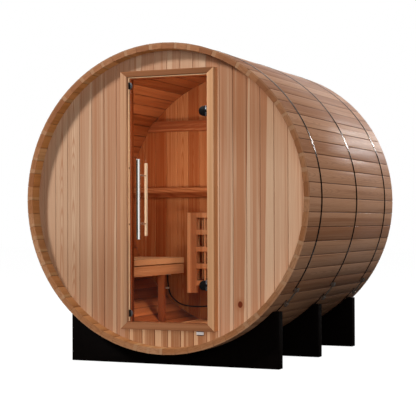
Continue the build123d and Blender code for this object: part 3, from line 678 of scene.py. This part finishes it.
def finish_right_jamb(wood):
    """Painted light: the right jamb's outer side face made paler and golden, with the painted edge
    highlight on its front.
    """
    tree, x = wood.tree, wood.axes[0]
    outer = calc(tree, "GREATER_THAN", x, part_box("right_jamb")[1].x - SKIN)
    golden = blend(tree, 1.0, wood.colour, PAINTED_SIDE_LIGHT, "MULTIPLY")
    return recolour(wood, blend(tree, outer, painted_edge_highlight(wood, "right_jamb"), golden))


def finish_fence(wood):
    """Painted shade: the guard's wood darkened on the faces inside the guard, towards the heater."""
    tree = wood.tree
    x, _, y = wood.axes
    behind = calc(tree, "GREATER_THAN", y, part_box("guard_front")[1].y - SKIN)
    within = calc(tree, "GREATER_THAN", x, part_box("guard_left")[1].x - SKIN)
    short = calc(tree, "LESS_THAN", x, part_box("guard_right")[0].x + SKIN)
    return recolour(wood, shade(tree, wood.colour, times(tree, behind, within, short), GUARD_INSIDE_SHADE))


rail_wood = cedar("rail_cedar", "zxy", RAIL_PLANK, RAIL_TONES, 9.0, arched=1.0, lines=0.5)
rail_cedar = finish_rails(rail_wood)
left_jamb_wood = cedar("left_jamb_cedar", "xzy", WHOLE, LEFT_JAMB_TONES, 5.0)
left_jamb_cedar = recolour(left_jamb_wood, painted_edge_highlight(left_jamb_wood, "left_jamb"))
right_jamb_cedar = finish_right_jamb(cedar("right_jamb_cedar", "xzy", WHOLE, RIGHT_JAMB_TONES, 5.0))
fence_cedar = finish_fence(cedar("fence_cedar", "xzy", BAR, FENCE_TONES, 6.0))


# Paint, steel, plastic and glass
STRAP_TINT = (0.72, 0.69, 0.67, 1.0)
HINGE_SPLIT = 0.270
CATCH_SPLIT = -0.2355
SPLIT_FADE = 0.0006
KNUCKLE_HALF = 0.008
SHOE_HALF = 0.032
GLASS_BEND = 1.35


def plain(name, colour, rough, metal=0.0, speck=0.12, scale=60.0, bump=0.1, specular=0.5):
    """Paint, steel or plastic with fine uneven colour, polish and surface."""
    made, tree, shader = new_material(name)
    grime = mottle(tree, *object_axes(tree), scale, 4.0, 0.6)
    darker = tuple(part * (1 - speck) for part in colour[:3]) + (1.0,)
    uneven = blend(tree, step_up(tree, grime, 0.35, 0.7), colour, darker)
    tree.links.new(uneven, shader.inputs["Base Color"])
    polish = calc(tree, "MULTIPLY_ADD", grime, 0.18, rough - 0.09)
    tree.links.new(polish, shader.inputs["Roughness"])
    dents = put(tree, "ShaderNodeBump", {"Strength": bump, "Distance": 0.0008, "Height": grime})
    tree.links.new(dents.outputs[0], shader.inputs["Normal"])
    shader.inputs["Metallic"].default_value = metal
    shader.inputs["Specular IOR Level"].default_value = specular
    return made


cradle_black = plain("cradle_black", tone(8, 5, 4), 0.6, speck=0.35, scale=25.0, specular=0.03)
strap_steel = plain("strap_steel", tone(28, 25, 25), 0.22, metal=1.0)
strap_shader = strap_steel.node_tree.nodes["Principled BSDF"]
strap_shader.inputs["Specular Tint"].default_value = STRAP_TINT
zinc_steel = plain("zinc_steel", tone(166, 160, 154), 0.32, metal=1.0)
bright_steel = plain("bright_steel", tone(238, 235, 231), 0.16, metal=1.0, speck=0.05, bump=0.02)
plate_black = plain("plate_black", tone(14, 13, 12), 0.4, speck=0.3, specular=0.15)
plate_silver = plain("plate_silver", tone(222, 220, 218), 0.4, metal=0.25, speck=0.06, bump=0.02)
seal_cream = plain("seal_cream", tone(240, 202, 156), 0.55, speck=0.06, specular=0.2)
peg_brown = plain("peg_brown", tone(104, 66, 40), 0.6, speck=0.2, specular=0.2)
heater_black = plain("heater_black", tone(26, 20, 17), 0.55, speck=0.3, scale=30.0, specular=0.2)
lead_black = plain("lead_black", tone(14, 12, 12), 0.6, speck=0.3, specular=0.15)
box_plastic = plain("box_plastic", tone(214, 206, 190), 0.5, speck=0.08)


def black_and_bright(name, split, knuckles=()):
    """Black lacquer on a fitting's left part and round its knuckles, bright steel right of split."""
    made, tree, shader = new_material(name)
    x, y, z = object_axes(tree)
    grime = mottle(tree, x, y, z, 90.0, 3.0)
    bare = step_up(tree, x, split - SPLIT_FADE, split + SPLIT_FADE)
    for height in knuckles:
        off = calc(tree, "ABSOLUTE", calc(tree, "SUBTRACT", z, height))
        clear = step_up(tree, off, KNUCKLE_HALF - SPLIT_FADE, KNUCKLE_HALF + SPLIT_FADE)
        bare = times(tree, bare, clear)
    black = blend(tree, grime, tone(12, 11, 11), tone(20, 18, 17))
    steel = blend(tree, grime, tone(176, 177, 182), tone(150, 151, 156))
    tree.links.new(blend(tree, bare, black, steel), shader.inputs["Base Color"])
    tree.links.new(bare, shader.inputs["Metallic"])
    tree.links.new(calc(tree, "MULTIPLY_ADD", grime, 0.12, 0.22), shader.inputs["Roughness"])
    shader.inputs["Specular IOR Level"].default_value = 0.12
    return made


hinge_low, hinge_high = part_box("hinge_clamps")
hinge_heights = (hinge_low.z + SHOE_HALF, hinge_high.z - SHOE_HALF)
hinge_finish = black_and_bright("hinge_finish", HINGE_SPLIT, hinge_heights)
catch_finish = black_and_bright("catch_finish", CATCH_SPLIT)


def bronze_glass():
    """Lightly bronzed glass. Lamps shine through it, as they do through a real pane."""
    made, tree, shader = new_material("bronze_glass")
    film = mottle(tree, *object_axes(tree), 3.0, 2.0)
    tint = blend(tree, film, tone(254, 248, 241), tone(252, 244, 236))
    tree.links.new(tint, shader.inputs["Base Color"])
    shader.inputs["Roughness"].default_value = 0.0
    shader.inputs["IOR"].default_value = GLASS_BEND
    shader.inputs["Transmission Weight"].default_value = 1.0
    shader.inputs["Specular IOR Level"].default_value = 0.12
    clear = put(tree, "ShaderNodeBsdfTransparent", {"Color": tint})
    path = put(tree, "ShaderNodeLightPath").outputs
    lit = calc(tree, "MAXIMUM", path["Is Shadow Ray"], path["Is Diffuse Ray"])
    both = put(tree, "ShaderNodeMixShader", {0: lit, 1: shader.outputs[0], 2: clear.outputs[0]})
    tree.links.new(both.outputs[0], tree.nodes["Material Output"].inputs["Surface"])
    return made


door_bronze = bronze_glass()


# Modelling helpers
NEAR = 1e-4
MERGE_DISTANCE = 1e-5
FLAT_ANGLE = math.radians(0.4)
SHARP_ANGLE = math.radians(34)
SMOOTH_ANGLE = math.radians(35)


def clear_selection():
    bpy.ops.object.select_all(action="DESELECT")


def pick(*objects):
    clear_selection()
    for obj in objects:
        obj.select_set(True)
    bpy.context.view_layer.objects.active = objects[0]


def settle(obj):
    """Puts an object's place, turn and size into its mesh."""
    pick(obj)
    bpy.ops.object.transform_apply(location=True, rotation=True, scale=True)


def block(name, low, high):
    """A box from its lowest to its highest corner, with its place in its mesh."""
    clear_selection()
    middle = [(a + b) / 2 for a, b in zip(low, high)]
    bpy.ops.mesh.primitive_cube_add(size=1, location=middle)
    made = bpy.context.object
    made.name = name
    made.scale = [b - a for a, b in zip(low, high)]
    settle(made)
    return made


def select_edges(obj, wanted):
    """Opens an object for editing, with the edges selected whose ends pass wanted(first, second)."""
    pick(obj)
    bpy.ops.object.mode_set(mode="EDIT")
    bpy.ops.mesh.select_mode(type="EDGE")
    bpy.ops.mesh.select_all(action="DESELECT")
    bpy.ops.object.mode_set(mode="OBJECT")
    points = obj.data.vertices
    for edge in obj.data.edges:
        first, second = (points[i].co for i in edge.vertices)
        edge.select = wanted(first, second)
    bpy.ops.object.mode_set(mode="EDIT")


def bevel_edges(obj, width, segments, wanted):
    """Bevels the edges whose ends pass wanted(first, second)."""
    select_edges(obj, wanted)
    bpy.ops.mesh.bevel(offset=width, segments=segments, affect="EDGES")
    bpy.ops.object.mode_set(mode="OBJECT")


def copy_of(obj, shift):
    """A copy of an object, moved within its mesh."""
    made = obj.copy()
    made.data = obj.data.copy()
    made.data.transform(Matrix.Translation(shift))
    bpy.context.collection.objects.link(made)
    return made


def node_copy(node, name):
    """A merged copy of a CAD node with its flat faces whole again."""
    made = bpy.data.objects.new(name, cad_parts[node].data.copy())
    made.data.materials.clear()
    bpy.context.collection.objects.link(made)
    pick(made)
    bpy.ops.object.mode_set(mode="EDIT")
    bpy.ops.mesh.select_all(action="SELECT")
    bpy.ops.mesh.remove_doubles(threshold=MERGE_DISTANCE)
    bpy.ops.mesh.dissolve_limited(angle_limit=FLAT_ANGLE)
    bpy.ops.object.mode_set(mode="OBJECT")
    return made


def apply_all(obj):
    pick(obj)
    for modifier in list(obj.modifiers):
        bpy.ops.object.modifier_apply(modifier=modifier.name)


def ease(made, width, segments):
    """Rounds every sharp edge of a piece a little."""
    easing = made.modifiers.new("easing", "BEVEL")
    easing.width = width
    easing.segments = segments
    easing.limit_method = "ANGLE"
    easing.angle_limit = SHARP_ANGLE
    easing.harden_normals = False
    apply_all(made)
    pick(made)
    bpy.ops.object.shade_smooth_by_angle(angle=SMOOTH_ANGLE)


def dress(obj, material, body, slot, *nodes):
    """Gives a finished piece its material and body, and hides the nodes it stands for. slot is not used.
    """
    obj.data.materials.clear()
    obj.data.materials.append(material)
    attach(obj, body)
    if nodes:
        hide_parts(*nodes)
    return obj


def soften(node, name, width, segments, material, body, slot):
    """A dressed copy of a CAD node with its sharp edges eased."""
    made = node_copy(node, name)
    ease(made, width, segments)
    return dress(made, material, body, slot, node)


def paint(material, *nodes):
    """Gives CAD nodes a finish and leaves their shape alone."""
    for node in nodes:
        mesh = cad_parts[node].data
        mesh.materials.clear()
        mesh.materials.append(material)


# Boarded walls: upright boards with a V at each joint, cut to the wall slab's own outline
BOARD_GAP = 0.0006
BOARD_GROOVE = 0.0035
FACE_SINK = 0.0003
BOARD_SPARE = 0.02
OUTLINE_STRETCH = 1.5


def board_wall(node, name, material):
    low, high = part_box(node)
    first, last = math.floor(low.x / BOARD_PITCH), math.ceil(high.x / BOARD_PITCH)
    left = first * BOARD_PITCH + BOARD_GAP / 2
    right = (first + 1) * BOARD_PITCH - BOARD_GAP / 2
    board = block(
        name,
        (left, low.y + FACE_SINK, low.z - BOARD_SPARE),
        (right, high.y - FACE_SINK, high.z + BOARD_SPARE),
    )
    bevel_edges(board, BOARD_GROOVE, 1, lambda a, b: abs(a.z - b.z) > BOARD_SPARE)
    boards = [board]
    for step in range(1, last - first):
        boards.append(copy_of(board, (step * BOARD_PITCH, 0, 0)))
    pick(*boards)
    bpy.ops.object.join()
    outline = node_copy(node, "outline")
    middle = Vector((0, (low.y + high.y) / 2, 0))
    stretch = Matrix.Scale(OUTLINE_STRETCH, 4, (0, 1, 0))
    outline.data.transform(Matrix.Translation(middle) @ stretch @ Matrix.Translation(-middle))
    trim = board.modifiers.new("trim", "BOOLEAN")
    trim.operation = "INTERSECT"
    trim.solver = "EXACT"
    trim.object = outline
    apply_all(board)
    bpy.data.objects.remove(outline)
    return dress(board, material, "sauna", "wall_wood", node)


board_wall("front_wall_left", "front_boards_left", door_wall_cedar)
board_wall("front_wall_right", "front_boards_right", door_wall_cedar)
board_wall("front_wall_over_door", "front_boards_over_door", over_door_cedar)
board_wall("front_wall_under_door", "front_boards_under_door", under_door_cedar)
back_boards = board_wall("back_wall", "back_boards", rear_wall_cedar)

# Staves
STAVE_EASE = 0.0008
SHELL_PARTS = (
    "right",
    "upper_right",
    "top",
    "upper_left",
    "left",
    "lower_left",
    "bottom",
    "lower_right",
)
shell = {}
for part in SHELL_PARTS:
    staves, planks = part + "_staves", part + "_planks"
    shell[part] = soften(staves, planks, STAVE_EASE, 1, stave_cedar, "sauna", "stave_wood")

# Door frame: rounded along the front edges of each member
FRAME_ROUND = 0.0025
FRAME_EASE = 0.0012
LONG_EDGE = 0.3
LEVEL = 0
UPRIGHT = 2


def frame_member(node, name, material, along):
    made = node_copy(node, name)
    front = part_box(node)[0].y

    def long_front_edge(a, b):
        return abs(a[along] - b[along]) > LONG_EDGE and max(a.y, b.y) < front + NEAR

    bevel_edges(made, FRAME_ROUND, 2, long_front_edge)
    ease(made, FRAME_EASE, 1)
    return dress(made, material, "sauna", "frame_wood", node)


frame_members = [
    frame_member("left_jamb", "left_jamb_post", left_jamb_cedar, UPRIGHT),
    frame_member("right_jamb", "right_jamb_post", right_jamb_cedar, UPRIGHT),
    frame_member("door_head", "door_head_rail", level_cedar, LEVEL),
    frame_member("door_sill", "door_sill_rail", level_cedar, LEVEL),
]

# Cradles, bench, rails, guard and door shoes with eased edges, then the nodes that only need a finish
PLANK_EASE = 0.003
BATTEN_EASE = 0.004
GUARD_EASE = 0.0015
HINGE_EASE = 0.001
CATCH_EASE = 0.0008


def bench_piece(node, name, width, material):
    return soften(node, name, width, 2, material, "sauna", "bench_wood")


for cradle in ("front_cradle", "middle_cradle", "rear_cradle"):
    soften(cradle, cradle + "_plank", PLANK_EASE, 2, cradle_black, "sauna", "cradle_paint")
bench_fascia = bench_piece("bench_apron", "bench_fascia", PLANK_EASE, fascia_cedar)
bench_piece("bench_legs", "bench_posts", PLANK_EASE, leg_cedar)
back_battens = bench_piece("wall_rails", "back_battens", BATTEN_EASE, rail_cedar)
guard_panels = [
    soften(panel, panel + "_fence", GUARD_EASE, 1, fence_cedar, "sauna", "guard_wood")
    for panel in ("guard_front", "guard_left", "guard_right")
]
soften("hinge_clamps", "hinge_shoes", HINGE_EASE, 2, hinge_finish, "door", "black_metal")
soften("catch_plates", "catch_shoes", CATCH_EASE, 2, catch_finish, "door", "black_metal")

paint(stop_cedar, "left_stop", "right_stop", "head_stop")
paint(slat_cedar, "bench_seat")
paint(floor_cedar, "floor_deck")
paint(rail_cedar, "bench_bearers")
paint(strap_steel, "bands")
paint(zinc_steel, "tensioners")
paint(bright_steel, "hinge_brackets", "catch_magnets", "outer_handle", "handle_posts")
paint(handle_cedar, "inner_handle")
paint(door_bronze, "door_glass")
paint(heater_black, "heater")
paint(lead_black, "heater_lead")
paint(box_plastic, "lead_fittings")

# Thin trim at the doorway: seals, keeps for the catches, pegs, and a bare plate under the sill
SEAL_WIDTH = 0.0042
SEAL_DEPTH = 0.007
SEAL_BEFORE_GLASS = 0.0015
SEAL_ROUND = 0.0022
KEEP_PROUD = 0.0004
KEEP_HEIGHT = 0.043
PEG_HEIGHTS = (1.216, 0.868)
PEG_HALF = 0.0045
PLATE_SIDES = (0.1945, 0.2428)
PLATE_ENDS = (0.192, 0.2182)
PLATE_BACKING = 0.0012
PLATE_THICKNESS = 0.0014
PLATE_MARGIN = 0.0042


def doorway_trim():
    way_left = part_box("left_jamb")[1].x
    way_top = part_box("door_head")[0].z
    glass_low, glass_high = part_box("door_glass")
    back = glass_low.y - SEAL_BEFORE_GLASS
    front = back - SEAL_DEPTH
    right = way_left + SEAL_WIDTH
    low = way_top - SEAL_WIDTH

    def front_edge(a, b):
        return max(a.y, b.y) < front + NEAR

    def right_front_edge(a, b):
        return front_edge(a, b) and min(a.x, b.x) > right - NEAR

    def low_front_edge(a, b):
        return front_edge(a, b) and max(a.z, b.z) < low + NEAR

    def proud_block(name, foot, top):
        proud = (right + KEEP_PROUD / 4, back, top)
        return block(name, (way_left, front - KEEP_PROUD, foot), proud)

    side = block("side_seal", (way_left, front, glass_low.z), (right, back, way_top))
    bevel_edges(side, SEAL_ROUND, 2, right_front_edge)
    dress(side, seal_cream, "sauna", "fitting_plastic")
    head = block("head_seal", (right, front, low), (glass_high.x, back, way_top))
    bevel_edges(head, SEAL_ROUND, 2, low_front_edge)
    dress(head, seal_cream, "sauna", "fitting_plastic")

    catch_low, catch_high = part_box("catch_plates")
    for name, foot in (("lower_keep", catch_low.z), ("upper_keep", catch_high.z - KEEP_HEIGHT)):
        keep = proud_block(name, foot, foot + KEEP_HEIGHT)
        bevel_edges(keep, SEAL_ROUND, 2, right_front_edge)
        dress(keep, plate_black, "sauna", "black_metal")
    for name, height in zip(("upper_peg", "lower_peg"), PEG_HEIGHTS):
        peg = proud_block(name, height - PEG_HALF, height + PEG_HALF)
        bevel_edges(peg, SEAL_ROUND, 3, front_edge)
        dress(peg, peg_brown, "sauna", "fitting_plastic")


def bare_plate():
    """A small silver plate on a black backing, with nothing on it."""
    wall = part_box("front_wall_under_door")[0].y
    backing_front = wall - PLATE_BACKING
    plate_front = backing_front - PLATE_THICKNESS
    left, right = PLATE_SIDES
    low, high = PLATE_ENDS
    backing = block("plate_backing", (left, backing_front, low), (right, wall, high))
    bevel_edges(backing, PLATE_MARGIN, 3, lambda a, b: abs(a.y - b.y) > PLATE_BACKING / 2)
    dress(backing, plate_black, "sauna", "black_metal")
    foot, top = low + PLATE_MARGIN, high - PLATE_MARGIN
    plate = block("bare_plate", (left, plate_front, foot), (right, backing_front, top))
    bevel_edges(plate, PLATE_MARGIN / 2, 3, lambda a, b: abs(a.y - b.y) > PLATE_THICKNESS / 2)
    bevel_edges(plate, PLATE_THICKNESS / 3, 2, lambda a, b: max(a.y, b.y) < plate_front + NEAR)
    dress(plate, plate_silver, "sauna", "bright_steel")


doorway_trim()
bare_plate()

# Heater lead: a rubber cable from the wall box down and along to the heater, on the route of its solid
LEAD_DIAMETER = 0.010
LEAD_Y = 0.4434
LEAD_ROUTE = (
    (-0.6, 0.499),
    (-0.6, 0.379),
    (-0.532, 0.302),
    (-0.445, 0.274),
    (-0.29, 0.274),
    (-0.15, 0.308),
    (-0.15, 0.384),
)


def lead():
    data = bpy.data.curves.new("heater_cable", "CURVE")
    data.dimensions = "3D"
    data.bevel_depth = LEAD_DIAMETER / 2
    data.bevel_resolution = 6
    data.resolution_u = 12
    data.use_fill_caps = True
    line = data.splines.new("NURBS")
    line.points.add(len(LEAD_ROUTE) - 1)
    for point, (x, z) in zip(line.points, LEAD_ROUTE):
        point.co = (x, LEAD_Y, z, 1)
    line.order_u = 3
    line.use_endpoint_u = True
    made = bpy.data.objects.new("heater_cable", data)
    bpy.context.collection.objects.link(made)
    dress(made, lead_black, "sauna", "lead_rubber", "heater_lead")


lead()

# Studio: a pale floor and sky, dark cloths for the glass and steel to mirror, and lamps
FLOOR_SIZE = 60
FLOOR_GLOW = 0.985
FLOOR_GREY = (0.08, 0.08, 0.08, 1)
WHITE = (1, 1, 1, 1)
SKY_LEVEL = 0.1
FLAG_LIFT = 0.004
FLAG_HEIGHT = 9.0
FLAG_CLOTH = (0.02, 0.018, 0.016, 1)
ROOM_LIGHT = (1.0, 0.93, 0.84)


def looked_at(tree):
    """1 for rays that the camera sees, straight or by way of glass and steel, and 0 for lighting."""
    path = put(tree, "ShaderNodeLightPath").outputs
    mirrored = calc(tree, "MAXIMUM", path["Is Glossy Ray"], path["Is Transmission Ray"])
    return calc(tree, "MAXIMUM", path["Is Camera Ray"], mirrored)


def floor_and_sky():
    """A pale floor and sky that are seen bright and light the sauna only a little."""
    clear_selection()
    bpy.ops.mesh.primitive_plane_add(size=FLOOR_SIZE, location=(0, 0, 0))
    ground = bpy.context.object
    ground.name = "studio_floor"
    made, tree, shader = new_material("studio_white")
    shader.inputs["Base Color"].default_value = FLOOR_GREY
    shader.inputs["Roughness"].default_value = 0.9
    shader.inputs["Specular IOR Level"].default_value = 0.0
    shader.inputs["Emission Color"].default_value = WHITE
    glow = times(tree, looked_at(tree), FLOOR_GLOW)
    tree.links.new(glow, shader.inputs["Emission Strength"])
    ground.data.materials.append(made)

    world = bpy.data.worlds.new("studio_sky")
    bpy.context.scene.world = world
    world.use_nodes = True
    sky = world.node_tree
    dome = sky.nodes["Background"]
    dome.inputs["Color"].default_value = WHITE
    levels = {0: looked_at(sky), 1: 0.0, 2: 1.0, 3: SKY_LEVEL, 4: 1.0}
    strength = put(sky, "ShaderNodeMapRange", levels).outputs[0]
    sky.links.new(strength, dome.inputs["Strength"])


def dark_flag(name, low, high, lifted):
    """A dark cloth on the floor from low to high, with its lifted edges hung up.

    lifted gives each such edge's axis and place. Only mirrors and glass see the cloth.
    """
    clear_selection()
    middle = [(a + b) / 2 for a, b in zip(low, high)]
    bpy.ops.mesh.primitive_plane_add(size=1, location=(*middle, FLAG_LIFT))
    flag = bpy.context.object
    flag.name = name
    flag.scale = (high[0] - low[0], high[1] - low[1], 1.0)
    settle(flag)

    def lifted_edge(a, b):
        return any(max(abs(a[axis] - at), abs(b[axis] - at)) < NEAR for axis, at in lifted)

    select_edges(flag, lifted_edge)
    bpy.ops.mesh.extrude_region_move(TRANSFORM_OT_translate={"value": (0, 0, FLAG_HEIGHT)})
    bpy.ops.object.mode_set(mode="OBJECT")
    made, _, shader = new_material(name + "_cloth")
    shader.inputs["Base Color"].default_value = FLAG_CLOTH
    shader.inputs["Roughness"].default_value = 0.9
    flag.data.materials.append(made)
    flag.visible_camera = False
    flag.visible_diffuse = False
    flag.visible_shadow = False


def lamp(name, place, target, size, watts, colour=(1, 1, 1)):
    """A round lamp turned towards a target, with its size across in metres."""
    data = bpy.data.lights.new(name, "AREA")
    data.shape = "DISK"
    data.size = size
    data.energy = watts
    data.color = colour
    made = bpy.data.objects.new(name, data)
    bpy.context.collection.objects.link(made)
    made.location = place
    made.rotation_mode = "QUATERNION"
    made.rotation_quaternion = (Vector(target) - Vector(place)).to_track_quat("-Z", "Y")
    made.visible_camera = False
    made.visible_transmission = False
    return made


def spare_shadow(light, *pieces):
    """Keeps pieces from throwing the light's shadow."""
    group = bpy.data.collections.new(light.name + "_passes")
    for piece in pieces:
        group.objects.link(piece)
    light.light_linking.blocker_collection = group
    for member in group.collection_objects:
        member.light_linking.link_state = "EXCLUDE"


def shine_on(light, *pieces):
    """Lets a light reach these pieces alone."""
    group = bpy.data.collections.new(light.name + "_lights")
    for piece in pieces:
        group.objects.link(piece)
    light.light_linking.receiver_collection = group


floor_and_sky()
dark_flag("left_flag", (-14.5, -16.5), (1.5, 10.0), ((0, -14.5), (1, -16.5)))
dark_flag("rear_flag", (1.6, -1.0), (12.0, 11.0), ((1, 11.0),))
key_lamp = lamp("key_lamp", (-6.2, -7.4, 7.2), (0, -0.9, 1.1), 1.9, 1070)
lamp("fill_lamp", (3.2, -8.0, 2.3), (0, -0.8, 1.0), 4.5, 225).visible_glossy = False
lamp("side_lamp", (4.6, 3.0, 5.2), (0.8, 0, 1.4), 1.4, 265).visible_glossy = False
lamp("back_lamp", (-1.2, 7.5, 3.2), (0, 0.5, 1.0), 3.0, 190).visible_glossy = False
lamp("rear_lamp", (2.3, 8.0, 3.5), (0.8, 0, 1.4), 0.45, 58).visible_diffuse = False


def cabin_lamp(name, place, target, size, watts, spread):
    """A small warm lamp within the cabin, with its beam's spread in degrees."""
    made = lamp(name, place, target, size, watts, ROOM_LIGHT)
    made.visible_glossy = False
    made.data.spread = math.radians(spread)
    return made


cabin_lamp("room_lamp", (0.3, -0.66, 1.66), (-0.25, 0.45, 1.0), 0.3, 4.8, 180)
ceiling_lamp = cabin_lamp("ceiling_lamp", (0.55, -0.45, 0.75), (-0.55, 0.1, 1.2), 0.3, 4.6, 110)
bench_lamp = cabin_lamp("bench_lamp", (0.5, -0.45, 0.85), (-0.38, 0.05, 0.64), 0.3, 2.3, 100)
floor_lamp = cabin_lamp("floor_lamp", (0.25, -0.68, 1.1), (-0.22, -0.22, 0.18), 0.15, 1.8, 60)
spare_shadow(key_lamp, *frame_members)
spare_shadow(bench_lamp, *guard_panels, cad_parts["heater"])
shine_on(bench_lamp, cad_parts["bench_seat"], bench_fascia)
shine_on(floor_lamp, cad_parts["floor_deck"], shell["lower_left"], shell["bottom"])
upper_shell = [shell[part] for part in ("left", "upper_left", "top", "upper_right", "right")]
shine_on(ceiling_lamp, *upper_shell, back_boards, back_battens)

# The camera at the photograph's place, with turns in radians and focal length in pixels
CAMERA_PLACE = (3.289, -7.739, 0.8812)
CAMERA_YAW = 0.4113
CAMERA_PITCH = 0.0107
CAMERA_ROLL = -0.0035
FOCAL_PIXELS = 1247.5
PHOTO_PIXELS = 417
SENSOR_WIDTH = 36


def photo_camera():
    level = math.cos(CAMERA_PITCH)
    ahead = Vector((-math.sin(CAMERA_YAW) * level, math.cos(CAMERA_YAW) * level, math.sin(CAMERA_PITCH)))
    right = Vector((math.cos(CAMERA_YAW), math.sin(CAMERA_YAW), 0))
    up = right.cross(ahead)
    c, s = math.cos(CAMERA_ROLL), math.sin(CAMERA_ROLL)
    right, up = c * right + s * up, c * up - s * right
    data = bpy.data.cameras.new("photo_camera")
    data.sensor_width = SENSOR_WIDTH
    data.lens = SENSOR_WIDTH * FOCAL_PIXELS / PHOTO_PIXELS
    made = bpy.data.objects.new("photo_camera", data)
    bpy.context.collection.objects.link(made)
    turn = Matrix((right, up, -ahead)).transposed()
    made.matrix_world = Matrix.Translation(CAMERA_PLACE) @ turn.to_4x4()
    bpy.context.scene.camera = made


photo_camera()
bpy.context.scene.view_settings.view_transform = "Standard"
